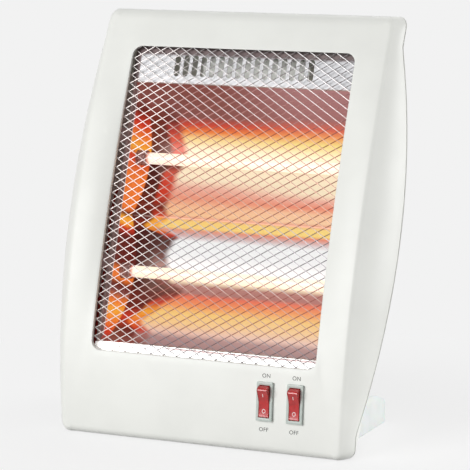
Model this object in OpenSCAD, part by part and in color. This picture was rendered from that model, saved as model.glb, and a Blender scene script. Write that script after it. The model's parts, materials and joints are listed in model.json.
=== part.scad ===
// Two-tube quartz bar heater: leaning moulded casing, wire guard, polished reflector, two rocker
// switches. Millimetres. +Z up, the face looks along -Y, origin under the middle of its box.

/* [Casing] */
// Height of the casing
body_h = 345; // [335:1:360]
// Width of the face where it is widest
face_w = 255; // [251:1:265]
// How much narrower each side of the face is at the foot
foot_narrowing = 4.2; // [2:0.1:7]
// How far below the top of the casing the face is widest
widest_drop = 122.5; // [100:0.5:150]
// Mean lean of the face from its foot to its top, degrees from upright
face_slope = 17.02; // [16.2:0.01:17.3]
// Lean of the face at its top, degrees from upright
top_lean = 28.8; // [26:0.1:31]
// Thickness of the moulded walls
wall = 2.5; // [2.2:0.1:3]
// Radius of the crease between the face and the sides
roll_r = 5; // [4:0.5:6]
// Radius of the rolled edge of the face along the top and the foot
rim_roll_r = 7; // [6:0.5:7.5]
// Corner radius of the face seen from the front
face_corner_r = 8; // [8:0.5:14]
// Depth of the flared side of the front shell at its deepest
side_depth = 36; // [30:0.5:38]
// Outward flare of the side per unit of its depth
side_flare = 0.6; // [0.5:0.02:0.64]
// How much more than that the side flares at the crease, so that it bows out before the seam
side_bow = 0.28; // [0.1:0.02:0.32]
// How far below the middle of the height the side is deepest
side_deep_drop = 2.5; // [-5:0.5:10]
// How much shallower the side is near the top and the foot
side_crescent = 22.4; // [20:0.2:26]
// Depth of the rolled rim of the front shell along the top and the foot
rim_depth = 13; // [12.6:0.2:16]
// Visible gap between the two shells
seam_gap = 0.4; // [0.3:0.1:0.8]
// Depth of the casing where it stands
base_depth = 82; // [80:1:88]
// Lean of the back panel, degrees from upright
back_lean = 11.1; // [10:0.1:12]
// Width of the back panel
back_w = 222; // [218:1:230]
// How far below the top the back panel turns into the sloping top
back_top_drop = 23; // [19:1:27]
// Distance over which the back panel's edges are rounded
back_round = 14; // [10:1:18]

/* [Window and guard] */
// Width of the window
window_w = 200; // [196:1:206]
// Height of the window's lower edge
window_low = 71.2; // [70:0.1:74]
// How far the window's upper edge lies below the top of the casing
window_drop = 28.9; // [27:0.1:33]
// Corner radius of the window
window_r = 8; // [6:0.5:12]
// How far the middle of the window's sides lies behind the face's edge
window_dish = 5.3; // [4.5:0.1:6]
// Thickness of the wire guard
guard_t = 1.2; // [1:0.1:1.4]
// Width of one diamond of the guard
diamond_w = 26; // [24:0.5:32]
// Height of one diamond of the guard
diamond_h = 15.2; // [14:0.2:20]
// Width of the guard's wires
wire_w = 1.2; // [1:0.1:2]
// Overlap of the guard behind the window's edge
guard_lap = 4; // [3:0.5:4]
// Width of the steel rim that clamps the guard
rim_w = 10; // [9.5:0.5:11]
// Thickness of the steel rim
rim_t = 1; // [0.8:0.1:1.2]

/* [Reflector] */
// Distance between the two end plates
reflector_w = 194; // [184:1:196]
// Sheet thickness of the reflector
sheet_t = 0.6; // [0.5:0.1:0.8]
// Sheet thickness of the plates and the heat box
plate_t = 0.8; // [0.6:0.1:1]
// How far the reflector's upper edge lies below the window's, along the lean
reflector_drop = 29.6; // [28.6:0.1:31.6]
// How far the reflector's lower edge lies above the window's, along the lean
reflector_rise = 9.6; // [8.6:0.1:11.6]
// How far the ridge between the two troughs lies below the middle of the two tubes
ridge_drop = 2.25; // [-1:0.25:4]
// Depth of the reflector's front edges behind the window's plane
front_v = 7.1; // [7.1:0.1:7.4]
// Depth of the ridge
ridge_v = 22; // [19:0.5:23]
// Depth of the two troughs
trough_v = 43; // [41:0.5:44]
// Depth of the heat box
box_v = 47; // [46:0.5:48]
// Number of slots in the vent plate
vent_slots = 16; // [12:1:18]
// Distance between two vent slots
vent_pitch = 8.05; // [7:0.05:8.4]
// Width of a vent slot
vent_w = 5; // [4:0.1:5.4]
// Length of a vent slot
vent_l = 18.5; // [16:0.5:20]

/* [Quartz tubes] */
// How far the upper tube lies below the reflector's upper edge, along the lean
upper_drop = 60; // [58:0.5:62]
// How far the lower tube lies above the reflector's lower edge, along the lean
lower_rise = 62.5; // [60:0.5:65]
// Depth of the tubes behind the window's plane
tube_v = 32; // [30:0.5:33]
// Outer diameter of the quartz tubes
tube_d = 10; // [9:0.1:11]
// Wall of the quartz tubes
tube_wall = 1; // [0.8:0.1:1.4]
// Diameter of the heating coil
coil_d = 5.6; // [4.6:0.1:6]
// Diameter of the coil's lead pins
pin_d = 1.6; // [1.4:0.1:1.9]
// Diameter of the ceramic end caps
cap_d = 13; // [12.6:0.1:14]
// Length of the ceramic end caps
cap_l = 17; // [16:0.5:20]
// How far the caps reach out of the end plates
cap_out = 8; // [7:0.5:9]

/* [Switches] */
// Height of the switches' middle
switch_z = 42.9; // [39:0.1:43]
// Sideways place of the left switch
left_switch_x = 58.3; // [54:0.1:60]
// Distance between the two switches
switch_pitch = 26.2; // [24:0.1:28]
// Width of the bezel
bezel_w = 14; // [13.8:0.1:15]
// Height of the bezel
bezel_h = 31.8; // [31.5:0.1:33.5]
// Thickness of the bezel
bezel_t = 1.8; // [1.5:0.1:2.2]
// Width of the rocker
rocker_w = 8.6; // [8.2:0.1:9]
// Swing radius of the rocker's ends
rocker_r = 12.9; // [12.5:0.1:13.1]
// Height of the rocker's tips above its pivot
rocker_tip = 5.6; // [5:0.1:5.8]
// Tilt of the rocker from level, each way, degrees
rocker_tilt = 14; // [12:0.5:15]
// Depth of the switch behind the bezel
switch_depth = 17; // [15:0.5:20]

/* [Feet] */
// Sideways place of a foot's outer face
foot_out = 109.8; // [108:0.1:110.5]
// Width of a foot
foot_w = 16; // [15:0.5:18]
// Length of a foot behind the casing
foot_l = 57.7; // [52:0.1:60]
// Height of a foot at its front
foot_h = 28.2; // [27:0.1:32]
// Height of a foot at its rear end
foot_tail_h = 20; // [18:0.1:22]

/* [Tip-over switch] */
// Diameter of the plunger under the base
plunger_d = 8; // [7:0.1:9]
// Travel of the plunger
plunger_travel = 5; // [4:0.1:5.5]
// Distance of the plunger behind the foot of the face
plunger_y = 46; // [44:0.5:50]

/* [Hidden] */

// Clearance of a part that is placed in another, and of a shaft that turns in its bore
fit_gap = 0.3;
run_gap = 0.05;
// Clearance between a screwed or seated part and its seat
seat_gap = 0.1;
// How far a boss or a box runs into the wall that carries it
merge = 1;
eps = 0.01;
plastic_white = [0.93, 0.93, 0.90];
steel_bright = [0.82, 0.82, 0.82];
blade_brass = [0.85, 0.8, 0.6];

function mix(a, b, s) = a + (b - a) * s;

// Heights that follow the casing's
face_setback = body_h * tan(face_slope);
back_top_z = body_h - back_top_drop;
window_high = body_h - window_drop;
widest_z = body_h - widest_drop;
side_deep_z = body_h / 2 - side_deep_drop;

// The face: a curve that starts upright at the foot and leans back at the top
function face_curve(z) = let (t = z / body_h) face_setback * (3 * t * t - 2 * t * t * t)
    + body_h * tan(top_lean) * (t * t * t - t * t);
function face_lean(z) = atan(face_curve(z + 0.5) - face_curve(z - 0.5));
function back_line(z) = base_depth + z * tan(back_lean);
function side_seam(z) = max(rim_depth,
    side_depth - side_crescent * pow((z - side_deep_z) / (0.43 * body_h), 2));

// Round from the side to the flat of the back panel, pulled towards the panel's corner
back_start = 0.72;
back_bends = [0 : 0.25 : 1];
function back_bend(s, c, f, t) = pow(1 - t, 2) * s + 2 * t * (1 - t) * c + t * t * f;

// The rocker's pivot in the switch, and its upper tip, which is the foremost point of the heater
bezel_seat = 0.25;
pivot_depth = 2.2;
pivot_y = pivot_depth - bezel_t - bezel_seat;
rocker_tip_e = sqrt(rocker_r * rocker_r - rocker_tip * rocker_tip);
proud_y = pivot_y - rocker_tip * cos(rocker_tilt) - rocker_tip_e * sin(rocker_tilt);
proud_z = rocker_tip_e * cos(rocker_tilt) - rocker_tip * sin(rocker_tilt);
front_reach = -face_curve(switch_z) - proud_y * cos(face_lean(switch_z))
    - proud_z * sin(face_lean(switch_z));

// The round at the top of the back panel is the rearmost place
top_seam = face_curve(body_h) + side_seam(body_h) + seam_gap;
back_reach = max([for (t = back_bends) back_bend(
    mix(top_seam, back_line(back_top_z), back_start), back_line(back_top_z),
    back_line(back_top_z - back_round), t)]);
depth = front_reach + back_reach;
front_y = (front_reach - back_reach) / 2;
function face_y(z) = front_y + face_curve(z);
function back_y(z) = front_y + back_line(z);
window_mid = (window_low + window_high) / 2;
window_half = (window_high - window_low) / 2;
function dish(z) = window_dish * max(0, 1 - pow((z - window_mid) / window_half, 2));
function window_y(z) = face_y(z) + dish(z);
function window_lean(z) = atan(window_y(z + 0.5) - window_y(z - 0.5));
function half_w(w, narrowing, z) =
    w / 2 - narrowing * pow(z / widest_z - 1, 2);

// The window's middle and the lean of its plane: the inner parts stand in this leaning frame
lean_z = window_mid;
lean_y = (window_y(window_low) + window_y(window_high)) / 2;
lean = atan((window_y(window_high) - window_y(window_low)) / (window_high - window_low));
module leaning() {
    translate([0, lean_y, lean_z]) rotate([-lean, 0, 0]) children();
}
// Heights in that frame, from the window's middle
window_u = window_half / cos(lean);
reflector_top = window_u - reflector_drop;
reflector_foot = reflector_rise - window_u;
upper_u = reflector_top - upper_drop;
lower_u = reflector_foot + lower_rise;
ridge_u = (upper_u + lower_u) / 2 - ridge_drop;
// A place on the face, y into the casing, z up along the face
module on_face(x, z) {
    translate([x, face_y(z), z]) rotate([-face_lean(z), 0, 0]) children();
}
module on_back(x, z) {
    translate([x, back_y(z), z]) rotate([-back_lean, 0, 0]) children();
}
// Cylinders along x and y, and a 2D shape in y and z stretched along x
module rod_x(d, l) {
    rotate([0, 90, 0]) cylinder(d = d, h = l, center = true, $fn = 48);
}
module rod_y(d, y0, y1) {
    translate([0, y0, 0]) rotate([-90, 0, 0]) cylinder(d = d, h = y1 - y0, $fn = 48);
}
module along_x(x0, x1) {
    translate([x0, 0, 0]) rotate([90, 0, 90]) linear_extrude(x1 - x0) children();
}

// ---- shells: loops of points round the face, all with the same count, joined into skins ----
side_steps = 16;
edge_steps = 6;
corner_steps = 5;
loop_n = 2 * side_steps + 2 * edge_steps + 4 * corner_steps;

function corner(cx, cz, r, a0) = [for (i = [0 : corner_steps - 1])
    let (a = a0 + 90 * i / corner_steps) [cx + r * cos(a), cz + r * sin(a), cos(a), sin(a)]];
// Each point is x, z and the outward direction in the front view
function loop_points(w, narrowing, z0, z1, r) = let (
    low = half_w(w, narrowing, z0 + r) - r, high = half_w(w, narrowing, z1 - r) - r)
    concat(
        [for (i = [0 : edge_steps - 1]) [mix(-low, low, i / edge_steps), z0, 0, -1]],
        corner(low, z0 + r, r, -90),
        [for (i = [0 : side_steps - 1]) let (z = mix(z0 + r, z1 - r, i / side_steps))
            [half_w(w, narrowing, z), z, 1, 0]],
        corner(high, z1 - r, r, 0),
        [for (i = [0 : edge_steps - 1]) [mix(high, -high, i / edge_steps), z1, 0, 1]],
        corner(-high, z1 - r, r, 90),
        [for (i = [0 : side_steps - 1]) let (z = mix(z1 - r, z0 + r, i / side_steps))
            [-half_w(w, narrowing, z), z, -1, 0]],
        corner(-low, z0 + r, r, 180));

face_loop = loop_points(face_w, foot_narrowing, 0, body_h, face_corner_r);
window_loop = loop_points(window_w, 0, window_low, window_high, window_r);

roll_steps = 3;
face_steps = 3;
side_bends = 3;
function flare(p) = side_flare * p[2] * p[2];
function crease_flare(p) = (side_flare + side_bow) * p[2] * p[2];
function turn(p) = 90 - atan(crease_flare(p));
function roll_at(p) = mix(rim_roll_r, roll_r, p[2] * p[2]);
function roll_in(p) = roll_at(p) * tan(turn(p) / 2);
// A point that lies out from the loop and d behind the face, never past the flat foot or top
function off_face(p, out, d) = let (z = min(max(p[1] + p[3] * out, 0), body_h))
    [p[0] + p[2] * out, face_y(z) + d, z];
function rolled(p, inset, a) = let (r = roll_at(p) - inset)
    off_face(p, -roll_in(p) + r * sin(a), roll_at(p) - r * cos(a));
// On the bowed side, s from 0 at the crease to 1 at the seam
function side_at(p, inset, s) = let (
    d0 = roll_at(p) * (1 - cos(turn(p))), d1 = side_seam(p[1]), d = mix(d0, d1, s),
    bend = (crease_flare(p) - flare(p)) * d1 / pow(d1 - d0, 2),
    slope = crease_flare(p) - 2 * bend * (d - d0))
    off_face(p, crease_flare(p) * d - bend * pow(d - d0, 2) - inset * sqrt(1 + slope * slope), d);
function seam_at(p, inset, gap) = let (d = side_seam(p[1]) + gap)
    off_face(p, flare(p) * d - inset * sqrt(1 + flare(p) * flare(p)), d);

// Section of the front shell through one point of the loop: outside from window to seam, and back
function face_part(p, q, d) = [for (i = [0 : face_steps - 1]) let (s = i / face_steps,
    a = -roll_in(p), x = mix(q[0], p[0] + p[2] * a, s), z = mix(q[1], p[1] + p[3] * a, s))
    [x, face_y(z) + dish(q[1]) * pow(1 - s, 2) + d, z]];
function roll_part(p, inset) =
    [for (i = [0 : roll_steps]) rolled(p, inset, turn(p) * i / roll_steps)];
function side_part(p, inset) = [for (i = [1 : side_bends - 1]) side_at(p, inset, i / side_bends)];
function reversed(v) = [for (i = [len(v) - 1 : -1 : 0]) v[i]];
function shell_section(p, q) = concat(
    face_part(p, q, 0), roll_part(p, 0), side_part(p, 0), [seam_at(p, 0, 0)],
    [seam_at(p, wall, 0)], reversed(side_part(p, wall)), reversed(roll_part(p, wall)),
    reversed(face_part(p, q, wall)));

// A skin round the loop from one closed section per point
module ring_skin(sections) {
    n = len(sections);
    m = len(sections[0]);
    polyhedron(points = [for (s = sections) each s],
        faces = [for (i = [0 : n - 1]) for (j = [0 : m - 1]) let (
            a = i * m + j, b = ((i + 1) % n) * m + j,
            c = ((i + 1) % n) * m + (j + 1) % m, d = i * m + (j + 1) % m)
            each [[a, b, c], [a, c, d]]]);
}
// A dish: loops from the outer edge in, the first and last one closed by a fan
module dish_skin(loops, first_mid, last_mid) {
    n = len(loops[0]);
    m = len(loops);
    polyhedron(points = concat([for (l = loops) each l], [first_mid, last_mid]),
        faces = concat(
            [for (j = [0 : m - 2]) for (i = [0 : n - 1]) let (
                a = j * n + i, b = j * n + (i + 1) % n,
                c = (j + 1) * n + (i + 1) % n, d = (j + 1) * n + i)
                each [[a, b, c], [a, c, d]]],
            [for (i = [0 : n - 1]) [(i + 1) % n, i, n * m]],
            [for (i = [0 : n - 1]) [(m - 1) * n + i, (m - 1) * n + (i + 1) % n, n * m + 1]]));
}

// ---- case screws: bosses of both shells meet in the middle ----
case_boss_d = 8;
case_pilot_d = 2.6;
case_shank_d = 2.5;
case_head_d = 5.4;
case_head_h = 2.2;
case_head_floor = 3;
// How deep a case screw bites into the front shell's boss
case_bite = 12;
// The low wells keep clear of the foot and of the lower edge of the back panel's flat
case_low = [foot_out - foot_w - 9.8, back_round + case_head_d / 2 + fit_gap + 0.6];
case_high = [face_w / 2 - 13, body_h - 55];
case_spots = [for (sx = [-1, 1]) for (s = [case_low, case_high]) [sx * s[0], s[1]]];
function case_join(s) = face_y(s[1]) + 30;
function case_floor(s) = case_join(s) + case_head_floor;

// ---- screws of the guard rim and of the reflector's plates ----
small_pilot_d = 2.5;
small_shank_d = 2.4;
small_hole_d = 3;
small_head_d = 5;
small_head_h = 1.4;
small_boss_d = 7;
guard_boss_d = 6;
small_skin = 1.3;
guard_bite = 1.9;
guard_front = wall + 0.8;
rim_front = guard_front + guard_t + seat_gap;
// A depth along y as a depth square to the window's surface
function square_to_window(d, z) = d * cos(window_lean(z));
guard_screw_x = window_w / 2 + guard_lap + 3.4;
guard_spots = [for (sx = [-1, 1]) for (z = [window_low + 20, window_mid, window_high - 20])
    [sx * guard_screw_x, z]];
// The face rises from the window's edge to its own edge, and the bosses start in its wall
guard_boss_share = (guard_screw_x - window_w / 2) / (face_w / 2 - 0.6 * roll_r - window_w / 2);
function guard_boss_foot(z) =
    wall - merge - dish(z) * (1 - pow(1 - guard_boss_share, 2));
// The end plates' tabs reach beyond the rim, to bosses of the front shell
tab_screw_x = window_w / 2 + rim_w + 4.5;
tab_screw_u = 0.54 * reflector_top;
tab_spots = [for (sx = [-1, 1]) for (su = [-1, 1]) [sx * tab_screw_x, su * tab_screw_u]];

module on_window(x, z) {
    translate([x, window_y(z), z]) rotate([-window_lean(z), 0, 0]) children();
}

// Depth of the face behind the window's plane, in the leaning frame, near a height there
function face_v(u) = let (z = lean_z + u * cos(lean), y = face_y(z))
    (y - lean_y) * cos(lean) - (z - lean_z) * sin(lean);

// All that lies behind the middle of the face's wall near a height. The face leans, so a square
// boss would stand out of it
foot_steps = 8;
module behind_face(z, reach) {
    along_x(-face_w / 2, face_w / 2) polygon(concat(
        [for (i = [-foot_steps : foot_steps]) let (h = z + reach * i / foot_steps)
            [face_y(h) + wall - merge, h]],
        [[back_y(z + reach), z + reach], [back_y(z - reach), z - reach]]));
}

module front_shell() {
    color(plastic_white) difference() {
        union() {
            ring_skin([for (i = [0 : loop_n - 1]) shell_section(face_loop[i], window_loop[i])]);
            for (s = case_spots) intersection() {
                translate([s[0], 0, s[1]])
                    rod_y(case_boss_d, face_y(s[1]) - case_boss_d, case_join(s) - fit_gap);
                behind_face(s[1], case_boss_d);
            }
            for (s = guard_spots) on_window(s[0], s[1])
                rod_y(guard_boss_d, guard_boss_foot(s[1]),
                    square_to_window(rim_front, s[1]) - seat_gap);
            for (s = tab_spots) leaning() translate([s[0], 0, s[1]])
                rod_y(small_boss_d, face_v(s[1]) + wall - merge, front_v);
        }
        for (s = case_spots) translate([s[0], 0, s[1]])
            rod_y(case_pilot_d, case_join(s) - case_bite - 2, case_join(s) + 1);
        for (s = guard_spots) on_window(s[0], s[1])
            rod_y(small_pilot_d, small_skin, rim_front + 1);
        for (s = tab_spots) leaning() translate([s[0], 0, s[1]])
            rod_y(small_pilot_d, face_v(s[1]) + small_skin, front_v + 1);
        for (x = [left_switch_x, left_switch_x + switch_pitch]) on_face(x, switch_z)
            cube([housing_w + 0.4, 4 * wall, housing_h + 0.4], center = true);
    }
}

// ---- rear shell ----
back_loop = loop_points(back_w, 0, 0, back_top_z, back_round);
back_flat_loop = loop_points(back_w - 2 * back_round, 0, back_round, back_top_z - back_round, 6);
function on_back_plane(p, inset) = [p[0], back_y(p[1]) - inset, p[1]];
function rear_loops(inset) = let (
    seam = [for (p = face_loop) seam_at(p, inset, seam_gap)],
    edge = [for (p = back_loop) on_back_plane([p[0] - p[2] * inset, p[1] - p[3] * inset], inset)],
    flat = [for (p = back_flat_loop) on_back_plane(p, inset)])
    concat([seam], [for (t = back_bends) [for (i = [0 : loop_n - 1])
        back_bend(mix(seam[i], edge[i], back_start), edge[i], flat[i], t)]]);
back_mid = [0, back_y(back_top_z / 2), back_top_z / 2];

back_slots = 11;
back_slot_pitch = 14;
back_slot_w = 4;
grip_w = 92;
grip_h = 22;
grip_z = back_top_z - 34;
grip_deep = 20;
back_slot_rows = [[56, 40], [grip_z - 92, 56]];
gland_x = -62;
gland_z = 30;
gland_hole_d = 15;
gland_bore_d = 8.4;
gland_flange_d = 20;
gland_flange_t = 2.3;
gland_barb = 4;
base_boss_d = 14;
base_boss_h = 3.5;
plunger_at = [0, front_y + plunger_y, 0];
collar_t = 1.5;
collar_z = wall + base_boss_h + plunger_travel + fit_gap;
stem_top = collar_z + collar_t + 7.4;
tip_switch_z = stem_top + fit_gap;
tip_post_x = 13;
tip_size = [36, 12, 16];
block_x = -58;
block_y = 52;
block_at = [block_x, front_y + block_y, 0];
block_size = [34, 18, 13];
block_post_x = 12;
foot_screw_z = [back_round + 3, back_round + 10.2];
foot_screw_x = back_w / 2 - back_round - 0.2;

module slot_shape(w, l) {
    square([w, l - w], center = true);
    for (s = [-1, 1]) translate([0, s * (l - w) / 2]) circle(d = w, $fn = 24);
}
module slot_hole(w, l) {
    linear_extrude(8 * wall, center = true) slot_shape(w, l);
}

module rear_shell() {
    color(plastic_white) difference() {
        union() {
            dish_skin(concat(reversed(rear_loops(wall)), rear_loops(0)),
                back_mid - [0, wall, 0], back_mid);
            intersection() {
                for (s = case_spots) translate([s[0], 0, s[1]])
                    rod_y(case_boss_d, case_join(s), back_y(s[1]) + wall);
                rear_block(wall / 4);
            }
            on_back(0, grip_z) translate([-grip_w / 2 - wall, -grip_deep - wall, -grip_h / 2 - wall])
                cube([grip_w + 2 * wall, grip_deep + merge, grip_h + 2 * wall]);
            translate(plunger_at) cylinder(d = base_boss_d, h = wall + base_boss_h, $fn = 48);
            for (sx = [-1, 1]) translate(plunger_at + [sx * tip_post_x, 0, 1])
                cylinder(d = 6, h = tip_switch_z - 1 - 0.1, $fn = 32);
            for (sx = [-1, 1]) translate(block_at + [sx * block_post_x, 0, 1])
                cylinder(d = 6, h = wall + 1, $fn = 32);
        }
        for (row = back_slot_rows) for (i = [0 : back_slots - 1])
            on_back((i - (back_slots - 1) / 2) * back_slot_pitch, row[0] + row[1] / 2)
            rotate([90, 0, 0]) slot_hole(back_slot_w, row[1]);
        on_back(0, grip_z) translate([-grip_w / 2, -grip_deep, -grip_h / 2])
            cube([grip_w, grip_deep + 10, grip_h]);
        for (s = case_spots) translate([s[0], 0, s[1]]) {
            rod_y(case_shank_d + fit_gap, case_join(s) - 1, case_floor(s) + 1);
            rod_y(case_head_d + 2 * fit_gap, case_floor(s), back_y(s[1]) + 4 * wall);
        }
        on_back(gland_x, gland_z) rod_y(gland_hole_d, -4 * wall, 4 * wall);
        translate(plunger_at - [0, 0, 1])
            cylinder(d = plunger_d + 2 * run_gap, h = wall + base_boss_h + 2, $fn = 64);
        for (sx = [-1, 1]) translate(plunger_at + [sx * tip_post_x, 0, tip_switch_z - 8])
            cylinder(d = small_pilot_d, h = 9, $fn = 32);
        for (sx = [-1, 1]) translate(block_at + [sx * block_post_x, 0, 1])
            cylinder(d = small_pilot_d, h = 2 * wall, $fn = 32);
        for (sx = [-1, 1]) for (z = foot_screw_z) on_back(sx * foot_screw_x, z)
            rod_y(small_hole_d, -4 * wall, 4 * wall);
    }
}
// The rear shell as a full block: the case bosses end just under its skin, the feet lie on it
module rear_block(inset) {
    dish_skin(rear_loops(inset), [0, face_y(lean_z), lean_z], back_mid - [0, inset, 0]);
}

// ---- guard: a bowed sheet follows the window's curve ----
bow_steps = 10;
bow_z = concat([window_low - 1.2 * rim_w],
    [for (i = [0 : bow_steps]) mix(window_low, window_high, i / bow_steps)],
    [window_high + 1.2 * rim_w]);
module bowed(d, t) {
    along_x(-window_w, window_w) polygon(concat([for (z = bow_z) [window_y(z) + d, z]],
        [for (z = reversed(bow_z)) [window_y(z) + d + t, z]]));
}
module window_shape(grow) {
    r = window_r + grow;
    w = window_w / 2 + grow - r;
    low = window_low - grow + r;
    high = window_high + grow - r;
    for (x = [-w, w]) for (z = [low, high]) translate([x, z]) circle(r = r, $fn = 48);
    translate([-w - r, low]) square([2 * (w + r), high - low]);
    translate([-w, low - r]) square([2 * w, high - low + 2 * r]);
}
module front_stamp() {
    translate([0, depth, 0]) rotate([90, 0, 0]) linear_extrude(2 * depth) children();
}
module diamonds() {
    cols = ceil(window_w / diamond_w) + 1;
    rows = ceil(2 * window_half / diamond_h) + 1;
    gap_w = diamond_w - wire_w * sqrt(1 + pow(diamond_w / diamond_h, 2));
    gap_h = gap_w * diamond_h / diamond_w;
    for (i = [-cols : cols]) for (j = [-rows : rows]) if ((i + j) % 2 == 0) {
        x = i * diamond_w / 2;
        z = window_mid + j * diamond_h / 2;
        if (abs(x) < window_w / 2 + guard_lap - 0.25 * diamond_w
            && abs(z - window_mid) < window_half + guard_lap - 0.25 * diamond_h)
            translate([x, z]) polygon([[gap_w / 2, 0], [0, gap_h / 2], [-gap_w / 2, 0], [0, -gap_h / 2]]);
    }
}
module wire_guard() {
    color([0.85, 0.84, 0.82]) intersection() {
        bowed(guard_front, guard_t);
        front_stamp() difference() {
            window_shape(guard_lap);
            intersection() {
                diamonds();
                window_shape(guard_lap - wire_w);
            }
        }
    }
}
module guard_rim() {
    color(steel_bright) difference() {
        intersection() {
            bowed(rim_front, rim_t);
            front_stamp() difference() {
                window_shape(rim_w);
                window_shape(1.5);
            }
        }
        for (s = guard_spots) on_window(s[0], s[1]) rod_y(small_hole_d, -1, rim_front + 4);
    }
}
module screw_y(shank_d, shank_l, head_d, head_h) {
    rod_y(head_d, 0, head_h);
    rod_y(shank_d, -shank_l, eps);
}
module guard_screws() {
    color(steel_bright) for (s = guard_spots) on_window(s[0], s[1])
        translate([0, square_to_window(rim_front + rim_t, s[1]) + seat_gap, 0])
        screw_y(small_shank_d, rim_t + guard_bite, small_head_d, small_head_h);
}

// ---- reflector box, in the leaning frame: x, depth, height along the lean ----
trough_steps = 12;
function trough(u, u0, u1, v1) = trough_v - (trough_v - v1) * pow((u - u0) / (u1 - u0), 2);
function trough_points(u0, u1, v1, from, to) = [for (i = [0 : trough_steps])
    let (u = mix(from, to, i / trough_steps)) [trough(u, u0, u1, v1), u]];
reflector_line = concat(
    trough_points(upper_u, reflector_top, front_v + 0.5, reflector_top, upper_u),
    trough_points(upper_u, ridge_u, ridge_v, upper_u - 4, ridge_u),
    trough_points(lower_u, ridge_u, ridge_v, ridge_u - 1, lower_u),
    trough_points(lower_u, reflector_foot, front_v + 0.5, lower_u - 4, reflector_foot));
module reflector() {
    color([0.9, 0.86, 0.8]) leaning() along_x(-reflector_w / 2 + 0.2, reflector_w / 2 - 0.2)
        polygon(concat(reflector_line, [for (p = reversed(reflector_line)) p + [sheet_t, 0]]));
}
hem = 2.2;
box_over = 1.8;
box_top = reflector_top + box_over;
box_foot = reflector_foot - box_over;
// The plates above and below the reflector: each is bent back over the heat box and screwed to it
plate_v = front_v - plate_t;
plate_top = window_u + 4.9;
plate_foot = -window_u - 2.9;
plate_over = 3;
fold_v = 20;
fold_screw_x = 68;
fold_screw_v = 15;
vent_mid = 15.5;
module folded_plate(side, edge, far) {
    fold = side > 0 ? box_top + seat_gap : box_foot - seat_gap - plate_t;
    difference() {
        union() {
            translate([-reflector_w / 2 - plate_over, plate_v, min(edge, far)])
                cube([reflector_w + 2 * plate_over, plate_t, abs(far - edge)]);
            translate([-reflector_w / 2 + fit_gap, plate_v, fold])
                cube([reflector_w - 2 * fit_gap, fold_v - plate_v, plate_t]);
        }
        for (sx = [-1, 1]) translate([sx * fold_screw_x, fold_screw_v, fold - 1])
            cylinder(d = small_hole_d, h = plate_t + 2, $fn = 32);
    }
}
module vent_plate() {
    color(steel_bright) leaning() difference() {
        folded_plate(1, reflector_top + 0.5, plate_top);
        for (i = [0 : vent_slots - 1])
            translate([(i - (vent_slots - 1) / 2) * vent_pitch, front_v, reflector_top + vent_mid])
            rotate([90, 0, 0]) linear_extrude(4 * plate_t, center = true) slot_shape(vent_w, vent_l);
    }
}
module bottom_lip_plate() {
    color(steel_bright) leaning() folded_plate(-1, box_foot - seat_gap, plate_foot);
}
module plate_screws() {
    color(steel_bright) leaning() for (sx = [-1, 1]) for (side = [-1, 1])
        translate([sx * fold_screw_x, fold_screw_v,
            side > 0 ? box_top + 2 * seat_gap + plate_t : box_foot - 2 * seat_gap - plate_t])
        rotate([side > 0 ? 0 : 180, 0, 0]) {
            cylinder(d = small_head_d, h = small_head_h, $fn = 32);
            translate([0, 0, -4]) cylinder(d = small_shank_d, h = 4 + eps, $fn = 32);
        }
}
tab_h = 12;
tab_far = tab_screw_x + 4;
module end_plate(side) {
    x0 = side > 0 ? reflector_w / 2 : -reflector_w / 2 - plate_t;
    color(steel_bright) leaning() difference() {
        union() {
            along_x(x0, x0 + plate_t) polygon([[front_v + 0.1, box_foot], [front_v + 0.1, box_top],
                [box_v, box_top], [box_v + plate_t, box_top - plate_t],
                [box_v + plate_t, box_foot + plate_t], [box_v, box_foot]]);
            translate([side > 0 ? x0 : x0 + plate_t - hem, front_v + seat_gap, box_foot])
                cube([hem, plate_t, box_top - box_foot]);
            for (s = tab_spots) if (s[0] * side > 0)
                translate([side > 0 ? x0 : -tab_far, front_v + seat_gap, s[1] - tab_h / 2])
                cube([tab_far - reflector_w / 2, plate_t, tab_h]);
        }
        for (s = tab_spots) translate([s[0], 0, s[1]]) rod_y(small_hole_d, 0, 2 * front_v);
        for (u = [upper_u, lower_u]) translate([0, tube_v, u]) rod_x(cap_d + 0.6, 2 * face_w);
    }
}
module end_plate_left() { end_plate(-1); }
module end_plate_right() { end_plate(1); }
box_slot_w = 5;
box_slot_l = 12;
box_slot_pitch = 30;
box_slot_drop = 10;
module heat_box() {
    o = [[front_v + 0.3, box_top], [box_v, box_top], [box_v, box_foot], [front_v + 0.3, box_foot]];
    t = plate_t;
    i = [[front_v + 0.3, box_foot + t], [box_v - t, box_foot + t], [box_v - t, box_top - t],
        [front_v + 0.3, box_top - t]];
    color([0.7, 0.7, 0.72]) leaning() difference() {
        along_x(-reflector_w / 2 + 0.2, reflector_w / 2 - 0.2) polygon(concat(o, i));
        for (i = [-2 : 2]) translate([i * box_slot_pitch, box_v, reflector_top - box_slot_drop])
            rotate([90, 0, 0]) slot_hole(box_slot_w, box_slot_l);
        for (sx = [-1, 1]) translate([sx * fold_screw_x, fold_screw_v, box_foot - 1])
            cylinder(d = small_pilot_d, h = box_top - box_foot + 2, $fn = 32);
    }
}
module reflector_screws() {
    color(steel_bright) leaning() for (s = tab_spots)
        translate([s[0], front_v + 2 * seat_gap + plate_t, s[1]])
        screw_y(small_shank_d, plate_t + 5, small_head_d, small_head_h);
}

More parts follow.
